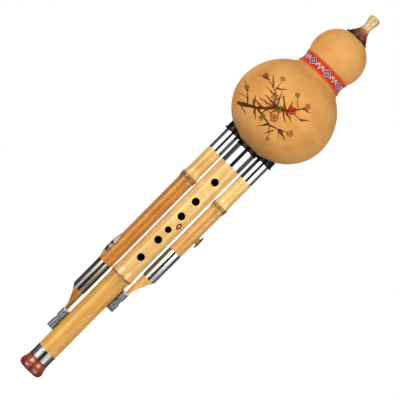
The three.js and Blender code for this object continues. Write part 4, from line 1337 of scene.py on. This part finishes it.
class HULUSI_OT_gourd(Operator):
    """Builds the gourd's shell with the holes for its three sockets and the neck hole"""

    bl_idname = "hulusi.gourd"
    bl_label = "Gourd"

    def execute(self, context):
        sizes = context.scene.hulusi_gourd
        shell = Shell()
        hole, drone_hole, half, cells = 10.1 * MM, 6.9 * MM, 7.6 * MM, 12
        centres = (-math.pi, 0.0)
        angles, columns = hole_angles(centres, half / DRONE_OFFSET, cells, 52)
        block = np.linspace(DRONE_OFFSET - half, DRONE_OFFSET + half, cells + 1)
        radii = np.unique(np.append(block, hole))
        first = int(np.argmin(abs(radii - block[0])))
        edge = radii[-1]

        def rim(centre):
            def at(around):
                x, y = DRONE_OFFSET + drone_hole * np.sin(around), drone_hole * np.cos(around)
                return centre + np.arctan2(y, x), np.hypot(x, y)

            return at

        last = first + cells
        holes = [(*pair, first, last, rim(centre)) for pair, centre in zip(columns, centres)]
        rims, hole_rim, neck_rim = [], [], []
        for offset, mark, scale in ((0.0, 0, 1), (-sizes.wall, 1, 0.6)):
            path = gourd_path(sizes, offset, scale)

            def underside(a, r, offset=offset):
                x, y = r * np.cos(a), r * np.sin(a)
                return stack(x, y, gourd_under(sizes, x, y, offset))

            drilled(shell, underside, angles, radii, holes, mark, 3)
            rims.append([underside(*at(rim_angles(cells))) for *_, at in holes])
            rest = path[(path[:, 0] > edge + 0.5 * MM) | (path[:, 1] > LOWER_CENTRE)]
            start = [(edge, gourd_under(sizes, edge, 0.0, offset))]
            shell.grid(turned(np.concatenate([start, rest]), angles), mark)
            hole_rim.append((hole, gourd_under(sizes, hole, 0.0, offset)))
            neck_rim.append(path[-1])
        for outer, inner in zip(*rims):
            shell.grid(np.stack([outer, inner]), 1)
        for outline in (hole_rim, neck_rim):
            shell.grid(turned(outline, angles), 1)
        fit("gourd_shell", shell, "gourd_head", "gourd", "gourd_skin", "Gourd skin", "Gourd inside", sharp=50)
        return {"FINISHED"}


class HULUSI_OT_collar(Operator):
    """Builds the black socket collar: a centre boss and two side lobes on a web, shaped to the gourd"""

    bl_idname = "hulusi.collar"
    bl_label = "Socket collar"

    def execute(self, context):
        sizes = context.scene.hulusi_gourd
        shell = Shell()
        around, lip = circle(96), 1.6 * MM
        a = around[:, None]
        s = np.linspace(0, 1, 6)
        lobe = (LOBE_FOOT, 12.2, 8.35, 7.65, 5.7, 6.6)
        parts = [(0.0, BOSS_FOOT, 8.8, 10.5, 10.1, 8.9, 9.8), (-DRONE_OFFSET, *lobe), (DRONE_OFFSET, *lobe)]
        for x, foot, *sizes_mm in parts:
            height, lip_radius, radius, bore, spigot = (size * MM for size in sizes_mm)
            end, start = foot + height, foot + lip + 0.6 * MM
            skirt = rounded(
                [
                    (bore, foot), (lip_radius, foot, 0.45 * MM), (lip_radius, foot + lip, 0.6 * MM),
                    (radius, foot + lip, 0.35 * MM), (radius, start),
                ]
            )
            shell.grid(turned(skirt, around, x))
            px, py = x + radius * np.cos(a), radius * np.sin(a)
            shell.grid(stack(px, py, start + (gourd_under(sizes, px, py) - start) * s))
            r = radius + (spigot - radius) * s
            px, py = x + r * np.cos(a), r * np.sin(a)
            seat = stack(px, py, gourd_under(sizes, px, py))
            shell.grid(seat)
            corners = ((spigot, end), (bore, end), (bore, foot))
            rings = [stack(x + q * np.cos(around), q * np.sin(around), h) for q, h in corners]
            shell.grid(np.stack([seat[:, -1], *rings]))
        half = 4.5 * MM
        section = rounded([(-half, 1), (-half, 0, 0.8 * MM), (half, 0, 0.8 * MM), (half, 1)])[1:-1]
        y = np.concatenate([[-half], section[:, 0], [half], np.linspace(half, -half, 9)])
        under = np.arange(len(y)) - 1
        under = (under >= 0) & (under < len(section))
        rise = np.zeros(len(y))
        rise[under] = section[:, 1]
        xs, ys = np.meshgrid(np.linspace(-DRONE_OFFSET, DRONE_OFFSET, 49), y, indexing="ij")
        zs = np.where(under, BOSS_FOOT + 3 * MM + rise, gourd_under(sizes, xs, ys))
        loops = stack(xs, ys, zs)
        loops = np.concatenate([loops, loops[:, :1]], axis=1)
        shell.grid(loops)
        for row in (0, -1):
            shell.fan(loops[row], loops[row].mean(0))
        fit("black_socket_collar", shell, "gourd_head", "socket_collar", "black_resin", "Black resin")
        return {"FINISHED"}


class HULUSI_OT_ribbon(Operator):
    """Winds the woven ribbon round the gourd's waist"""

    bl_idname = "hulusi.ribbon"
    bl_label = "Waist ribbon"

    def execute(self, context):
        sizes = context.scene.hulusi_gourd
        foot, top = low("waist_ribbon") - 0.9 * MM, high("waist_ribbon") + 0.1 * MM
        out, rise = waist_curve(sizes)
        angles = circle(192, math.pi / 2)
        v = np.linspace(0, 1, 15)

        def layer(offset):
            """Radius out - sqrt(fillet^2 - (z - centre)^2) over the ribbon's height."""
            z = foot + (top - foot) * v
            fillet = sizes.fillet - offset
            r = out - np.sqrt(np.maximum(fillet**2 - (z - (LOWER_CENTRE + rise)) ** 2, 0))
            return np.stack([r, z], axis=-1)

        inner, outer = layer(GOURD_GAP), layer(GOURD_GAP + sizes.ribbon_thickness)
        outer[[0, -1], 0] -= 0.2 * MM
        places = np.stack(np.meshgrid(np.linspace(0, 1, 193), v, indexing="ij"), axis=-1)
        shell = Shell().grid(turned(outer, angles), places=places).grid(turned(inner, angles), places=places)
        for edge in (0, -1):
            strip = turned(np.stack([outer[edge], inner[edge]]), angles)
            shell.grid(strip, places=np.stack([places[:, edge]] * 2, axis=1))
        ribbon = fit("woven_waist_ribbon", shell, "gourd_head", "waist_ribbon", "ribbon", "Woven ribbon")
        return {"FINISHED"}


class HULUSI_OT_mouth(Operator):
    """Turns the neck ring, the resin mouthpiece and its cork"""

    bl_idname = "hulusi.mouth"
    bl_label = "Neck ring and mouthpiece"

    def execute(self, context):
        sizes = context.scene.hulusi_gourd
        ball = sizes.upper + GOURD_GAP

        def on_ball(radius):
            return radius, UPPER_CENTRE + math.sqrt(ball**2 - radius**2)

        rim_radius, waist, cone_top = 11 * MM, 9.9 * MM, 8.5 * MM
        seat = np.array([on_ball(r) for r in np.linspace(sizes.neck_hole, rim_radius, 7)])
        shoulder = NECK_TOP - 2.9 * MM
        rim = rounded([on_ball(rim_radius), (rim_radius, shoulder, 0.4 * MM), (waist, shoulder)])
        t = np.linspace(0, 1, 9)[:, None]
        cone = [cone_top + (waist - cone_top) * (1 - t) ** 1.6, shoulder + (NECK_TOP - shoulder) * t]
        saucer = np.concatenate([np.concatenate(cone, axis=1), [(sizes.neck_hole, NECK_TOP)], seat[:1]])
        angles = circle(96)
        ring = Shell().grid(turned(np.concatenate([seat, rim[1:]]), angles)).grid(turned(saucer, angles), 1)
        fit("black_neck_ring", ring, "gourd_head", "neck_ring", "black_resin", "Black resin", "Amber resin")

        foot, base_z, top = (z / MM for z in (low("mouthpiece"), NECK_TOP, high("mouthpiece")))
        bore, core, narrow, lip = 2.4, 3.9, base_z + 10.9, base_z + 17.4
        t = np.linspace(0, 1, 25)[:, None]
        outline = np.concatenate(
            [
                [(bore, foot), (core, foot), (core, base_z)],
                np.concatenate([core + 4.3 * (1 - t) ** 2.2, base_z + (narrow - base_z) * t], axis=1),
                np.concatenate([core + 1.4 * ease(t), narrow + (lip - narrow) * t], axis=1)[1:],
                arc(3.6, lip, 1.7, top - lip, 0, 90, 10)[1:],
                rounded([(2.8, top), (bore, top, 0.3), (bore, top - 0.6)]),
                [(bore, foot)],
            ]
        )
        lathe("amber_mouthpiece", outline * MM, "mouth_tube", "mouthpiece", "amber", "Amber resin")
        foot, top = low("mouthpiece_cork") / MM, high("mouthpiece_cork") / MM
        cork = ring_of([(5, foot, 0.4), (5, top, 0.4), (4.2, top), (4.2, foot)])
        lathe("mouthpiece_tenon_cork", cork, "mouth_tube", "mouthpiece_cork", "cork", "Cork", sides=64)
        return {"FINISHED"}


# Stoppers


class HULUSI_OT_stoppers(Operator):
    """Builds the short drone's headed stopper and the long drone's bowed cap with its two pegs"""

    bl_idname = "hulusi.stoppers"
    bl_label = "Drone stoppers"

    def execute(self, context):
        def peg(name, outline, side, z, body, node, slot, finish_name):
            points = turned_sideways(outline * MM, circle(48), side, side * DRONE_OFFSET, z)
            fit(name, Shell().grid(points), body, node, slot, finish_name)

        foot, face, end = 3.9, 8.2, (high("right_stopper_head", 0) - DRONE_OFFSET) / MM
        neck = 1.8
        stem = rounded(
            [
                (0, foot), (2.9, foot, 0.2), (2.9, face, 0.1), (neck, face), (neck, end - 0.15, 0.2),
                (0, end),
            ]
        )
        names = ("right_stopper", "right_stopper_stem", "bamboo", "Honey bamboo")
        peg("short_drone_stopper_stem", stem, 1, HEAD_MIDDLE, *names)
        r = np.linspace(2.1, 5.85, 12)[:, None]
        front = np.concatenate([r, end - 0.55 * ((r - r[0]) / (r[-1] - r[0])) ** 2], axis=1)
        rear = np.concatenate([r, face + 0 * r], axis=1)
        brim = rounded([front[-2], (*front[-1], 0.35), (*rear[-1], 0.35), rear[-2]])[1:-1]
        head = np.concatenate([front[:-1], brim, rear[-2::-1], front[:1]])
        names = ("right_stopper", "right_stopper_head", "dark_wood", "Dark wood")
        peg("short_drone_stopper_head", head, 1, HEAD_MIDDLE, *names)

        depth, width, tall, reach, seat = (value * MM for value in (3.5, 5, 14.9, 8.8, 7.1))
        phi = circle(72)[:, None]

        def cap_point(psi):
            """Half of an egg of three radii: outwards cos psi, across sin psi sin phi, up sin psi cos phi."""
            rho = np.sin(psi)
            return reach - depth + depth * np.cos(psi), width * rho * np.sin(phi), tall * rho * np.cos(phi)

        # Where the cap meets the drone's wall, found by halving
        start, stop = np.zeros_like(phi), np.full_like(phi, 0.9 * math.pi)
        for _ in range(40):
            trial = (start + stop) / 2
            out, y, _ = cap_point(trial)
            clear = np.hypot(out, y) > seat
            start, stop = np.where(clear, trial, start), np.where(clear, stop, trial)
        out, y, up = cap_point(start * np.linspace(0, 1, 25))
        shell = Shell().grid(stack(-DRONE_OFFSET - out, y, CAP_MIDDLE + up))
        _, y, up = (value * np.linspace(1, 0, 9) for value in cap_point(start))
        shell.grid(stack(-DRONE_OFFSET - np.sqrt(seat**2 - y**2), y, CAP_MIDDLE + up))
        fit("long_drone_stopper_cap", shell, "left_stopper", "left_stopper_cap", "pale_resin", "Hazy resin")
        for (key, rise), radius in zip(PEG_RISES.items(), (1.3, 1.7)):
            outline = rounded([(0, foot), (radius, foot, 0.2), (radius, 8, 0.3), (0, 8)])
            names = ("left_stopper", f"left_stopper_{key}_peg", "dark_wood", "Dark wood")
            peg(f"long_drone_{key}_peg", outline, -1, CAP_MIDDLE + rise, *names)
        return {"FINISHED"}


# Reeds

# Sizes in millimetres: the holder's flange, wall, bore and flat, how far the flat starts below the slot,
# the holder's height, then the tongue's length, width at the root and at the tip, and the slot's depth
LARGE_REED = (7, 6.2, 6.2, 5.3, 2.6, 43, 15, 3.0, 1.8, 0.8)
SMALL_REED = (4.2, 4, 3.6, 3.2, 2.2, 41, 12, 2.2, 1.5, 0.65)


class HULUSI_OT_reeds(Operator):
    """Builds the reed holders on the pipe tops and gives the reed plates and tongues their brass"""

    bl_idname = "hulusi.reeds"
    bl_label = "Reeds"

    def execute(self, context):
        top = TENON_TOP / MM
        for key, (x, *_) in SOCKETS.items():
            sizes = LARGE_REED if key == "main" else SMALL_REED
            flange, radius, bore, flat, edge, height, reed, root, tip, sunk = sizes
            slot_foot = top + 17
            slot_top, ledge, end = slot_foot + reed + 0.3, slot_foot - edge, top + height
            chord = math.sqrt(radius**2 - flat**2)
            rows = [
                (bore, 0, top - 8), (bore, 0, top), (flange, 0, top), (flange, 0, top + 1.5),
                (radius, 0, top + 1.5), (radius, 0, ledge), (radius, 1, ledge), (radius, 1, slot_foot),
                (radius, 1, slot_top), (radius, 1, end),
            ]
            loops = []
            for r, clamped, z in rows:
                slit = (root + (tip - root) * np.clip((z - slot_foot) / (slot_top - slot_foot), 0, 1)) / 2
                scale = r / radius
                half_way = (chord + slit) / 2
                across = np.array([-chord, -half_way, -slit, 0, slit, half_way, chord]) * scale
                depth = np.full(7, flat) if clamped else np.sqrt(np.maximum(r**2 - across**2, 0))
                front = np.stack([across, -depth], axis=-1)
                turn = math.atan2(-math.sqrt(max(r**2 - (chord * scale) ** 2, 0)), chord * scale)
                a = np.linspace(turn, math.pi - turn, 45)
                rest = np.stack([r * np.cos(a), r * np.sin(a)], axis=-1)
                if clamped:
                    rest[0], rest[-1] = (chord, -flat), (-chord, -flat)
                loop = np.concatenate([front, rest[1:]])
                loops.append(np.concatenate([loop, np.full((len(loop), 1), z)], axis=1))
            points = np.stack(loops) * MM
            points[..., 0] += x
            kept = np.ones((len(rows) - 1, points.shape[1] - 1), bool)
            kept[7, 2:4] = False
            mouth = np.stack([points[7, 2:5], points[8, 2:5]])
            pit = mouth + [0, sunk * MM, 0]
            shell = Shell().grid(points, 0, kept).grid(pit)
            for side in (np.s_[0], np.s_[1], np.s_[:, 0], np.s_[:, -1]):
                shell.grid(np.stack([mouth[side], pit[side]]))
            for row in (0, -1):
                shell.fan(points[row], (x, 0, points[row, 0, 2]))
            name = f"{key}_reed_tube"
            fit(name, shell, "pipes", f"{key}_reed_holder", "black_resin", "Black resin", sharp=30)
            for part in ("plate", "tongue"):
                kept_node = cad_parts[f"{key}_reed_{part}"]
                kept_node.data.materials.clear()
                kept_node.data.materials.append(skin("Brass"))
        return {"FINISHED"}


# Stage

# Cards where the lamps stand: bearing and half width in degrees, then height, half height and level
LAMP_CARDS = [(-48.2, 5.2, 0.11, 0.22, 5.7), (-40.2, 19.0, 0.19, 0.1, 11.0), (39.8, 17.0, 0.19, 0.1, 9.0)]


def ray(tree, kind):
    """1 where a ray of that kind asks for the shade."""
    return put(tree, "ShaderNodeLightPath", output=f"Is {kind} Ray")


def grey_stops(around, tint, *levels):
    """Grey levels by the angle off the front in degrees, both ways round, with a tint of blue."""
    return stops(around / math.pi, *((a / 180, (v, v, tint * v, 1)) for a, v in levels))


def card_at(bearing, up, middle_degrees, half, centre, tall, level):
    """A bright card in the surroundings: half its width in degrees, centre and half height as sines."""
    aside = abs(bearing - math.radians(middle_degrees))
    beside = between(aside, math.radians(1.1 * half), math.radians(0.9 * half))
    return beside * between(abs(up - centre), 1.1 * tall, 0.9 * tall) * level


def mirrored_studio(tree, x, y, z):
    """What glossy surfaces mirror: grey bands round the object, dim bands where the lower sleeves mirror
    them, low cards for the lip of the bell, and cards where the lamps stand, seen in the lamps' stead."""
    bearing = calc("ARCTAN2", x, y * -1.0)
    around = abs(bearing)
    bands = grey_stops(
        around, 1.0, (0, 0.02), (15, 0.03), (21, 1.5), (72, 1.5), (79, 0.12), (86, 0.2), (104, 0.2),
        (114, 0.06), (156, 0.03), (164, 0.8),
    )
    dull = grey_stops(
        around, 1.1, (0, 0.03), (17, 0.05), (23, 0.42), (72, 0.36), (79, 0.15), (88, 0.45), (140, 0.45),
        (160, 0.1),
    )
    streak = between(around, math.radians(20), math.radians(25)) * 0.5
    streak = streak * between(around, math.radians(38), math.radians(32)) * (x < 0.0)
    low_view = between(z, -0.012, -0.026) * between(z, -0.112, -0.092)
    pattern = blend(low_view, bands, blend(1.0, dull, streak, "ADD"))
    low_card = between(z, -0.2, -0.24) * between(z, -0.42, -0.38)
    lip_cards = grey_stops(around, 1.0, (0, 0), (36, 0), (44, 1), (62, 1), (70, 0))
    lamp_cards = [card_at(bearing, z, *card) for card in LAMP_CARDS]
    for card in (lip_cards * low_card * 11.0, *lamp_cards):
        pattern = blend(1.0, pattern, card, "ADD")
    # A second mirroring, from one ferrule into the next, is dim
    once = put(tree, "ShaderNodeLightPath", output="Glossy Depth") < 1.5
    return blend(once * 0.9 + 0.1, (0, 0, 0), pattern)


def studio_world(ambient):
    """Soft light from all round, a little more of it from the front and from above, a white background
    and the mirrored studio."""
    world = bpy.data.worlds.new("Studio")
    world.use_nodes = True
    tree = world.node_tree
    tree.nodes.clear()
    x, y, z = split(put(tree, "ShaderNodeTexCoord", output="Generated"))
    even = calc("MAXIMUM", z * 0.2 + 0.8 - y * 0.26, 0.4) + between(y, 0.2, 0.9) * 0.8
    camera, transmission, glossy = (ray(tree, kind) for kind in ("Camera", "Transmission", "Glossy"))
    shade = blend(glossy, even * ambient, mirrored_studio(tree, x, y, z))
    shade = blend(calc("MAXIMUM", camera, transmission), shade, (1, 1, 1))
    back = put(tree, "ShaderNodeBackground", {"Color": shade})
    add(tree, "ShaderNodeOutputWorld", {0: back})
    return world


def pale_floor(height):
    """A pale floor that mirrors don't show and that is clear from below, so that it hides nothing."""
    s = np.linspace(-3, 3, 9)
    xs, ys = np.meshgrid(s, s, indexing="ij")
    floor = bpy.data.objects.new("floor", Shell().grid(stack(xs, ys, height)).mesh("floor"))
    bpy.context.scene.collection.objects.link(floor)
    if floor.data.polygons[0].normal.z < 0:
        floor.data.flip_normals()
    tree, shader = finish(
        "Pale floor", Roughness=0.9, Base_Color=(0.5, 0.5, 0.5, 1), Emission_Color=(1, 1, 1, 1)
    )
    fill(shader, {"Emission Strength": ray(tree, "Camera") * 0.9})
    backfacing = put(tree, "ShaderNodeNewGeometry", output="Backfacing")
    through = calc("MAXIMUM", ray(tree, "Glossy"), backfacing)
    clear = put(tree, "ShaderNodeBsdfTransparent")
    both = put(tree, "ShaderNodeMixShader", {0: through, 1: Signal(shader.outputs[0]), 2: clear})
    fill(tree.nodes["Material Output"], {0: both})
    floor.data.materials.append(bpy.data.materials["Pale floor"])


class HULUSI_OT_stage(Operator):
    """Sets the floor, the softboxes, the surroundings and the camera"""

    bl_idname = "hulusi.stage"
    bl_label = "Stage"

    def execute(self, context):
        scene, stage = context.scene, context.scene.hulusi_stage
        scene.view_settings.view_transform = "Standard"
        pale_floor(low("tail_bell") - stage.floor_drop)
        scene.world = studio_world(stage.ambient)

        # Lamps by bearing, distance, height, width, height of the panel and power; mirrors don't show them
        lamps = {
            "left_softbox": (-44, 1.2, 0.33, 0.22, 0.56, 0.75 * stage.side_power),
            "right_softbox": (54, 1.2, 0.3, 0.35, 0.9, 0.95 * stage.side_power),
            "upper_left_lamp": (-36, 1.4, 0.41, 0.7, 0.18, 1.8 * stage.upper_power),
            "upper_right_lamp": (44, 1.4, 0.41, 0.6, 0.18, 1.0 * stage.upper_power),
        }
        for name, (bearing, away, height, width, tall, power) in lamps.items():
            lamp = bpy.data.lights.new(name, "AREA")
            lamp.shape, lamp.size, lamp.size_y, lamp.energy = "RECTANGLE", width, tall, power
            made = bpy.data.objects.new(name, lamp)
            a = math.radians(bearing) + stage.turn
            made.location = place = Vector((away * math.sin(a), -away * math.cos(a), height))
            made.rotation_euler = (Vector((0, 0, 0.25)) - place).to_track_quat("-Z", "Y").to_euler()
            made.visible_glossy = False
            scene.collection.objects.link(made)

        camera = bpy.data.cameras.new("camera")
        camera.lens, camera.sensor_width = stage.lens, 36
        made = bpy.data.objects.new("camera", camera)
        aim = Matrix.Translation((2.1 * MM, 0, 204.9 * MM)) @ Matrix.Rotation(stage.turn, 4, "Z")
        upright = Matrix.Rotation(math.pi / 2, 4, "X") @ Matrix.Translation((0, 0, stage.distance))
        made.matrix_world = aim @ upright @ Matrix.Rotation(stage.roll, 4, "Z")
        scene.collection.objects.link(made)
        scene.camera = made
        return {"FINISHED"}


STEPS = (
    HULUSI_OT_tail, HULUSI_OT_main_pipe, HULUSI_OT_drones, HULUSI_OT_sleeves, HULUSI_OT_clips,
    HULUSI_OT_sockets, HULUSI_OT_gourd, HULUSI_OT_collar, HULUSI_OT_ribbon, HULUSI_OT_mouth,
    HULUSI_OT_stoppers, HULUSI_OT_reeds, HULUSI_OT_stage,
)
GROUPS = {
    "hulusi_pipes": HulusiPipeSizes,
    "hulusi_gourd": HulusiGourdSizes,
    "hulusi_finishes": HulusiFinishes,
    "hulusi_stage": HulusiStage,
}


class HULUSI_PT_pieces(Panel):
    """Lists the pieces of the hulusi"""

    bl_idname = "HULUSI_PT_pieces"
    bl_label = "Hulusi"
    bl_space_type = "VIEW_3D"
    bl_region_type = "UI"
    bl_category = "Hulusi"

    def draw(self, context):
        for step in STEPS:
            self.layout.operator(step.bl_idname)


def register():
    for made in (*GROUPS.values(), *STEPS, HULUSI_PT_pieces):
        bpy.utils.register_class(made)
    for name, made in GROUPS.items():
        setattr(bpy.types.Scene, name, PointerProperty(type=made))


def unregister():
    for name in GROUPS:
        delattr(bpy.types.Scene, name)
    for made in (HULUSI_PT_pieces, *reversed(STEPS), *GROUPS.values()):
        bpy.utils.unregister_class(made)


def main():
    register()
    for step in STEPS:
        family, name = step.bl_idname.split(".")
        getattr(getattr(bpy.ops, family), name)()


if __name__ == "__main__":
    main()
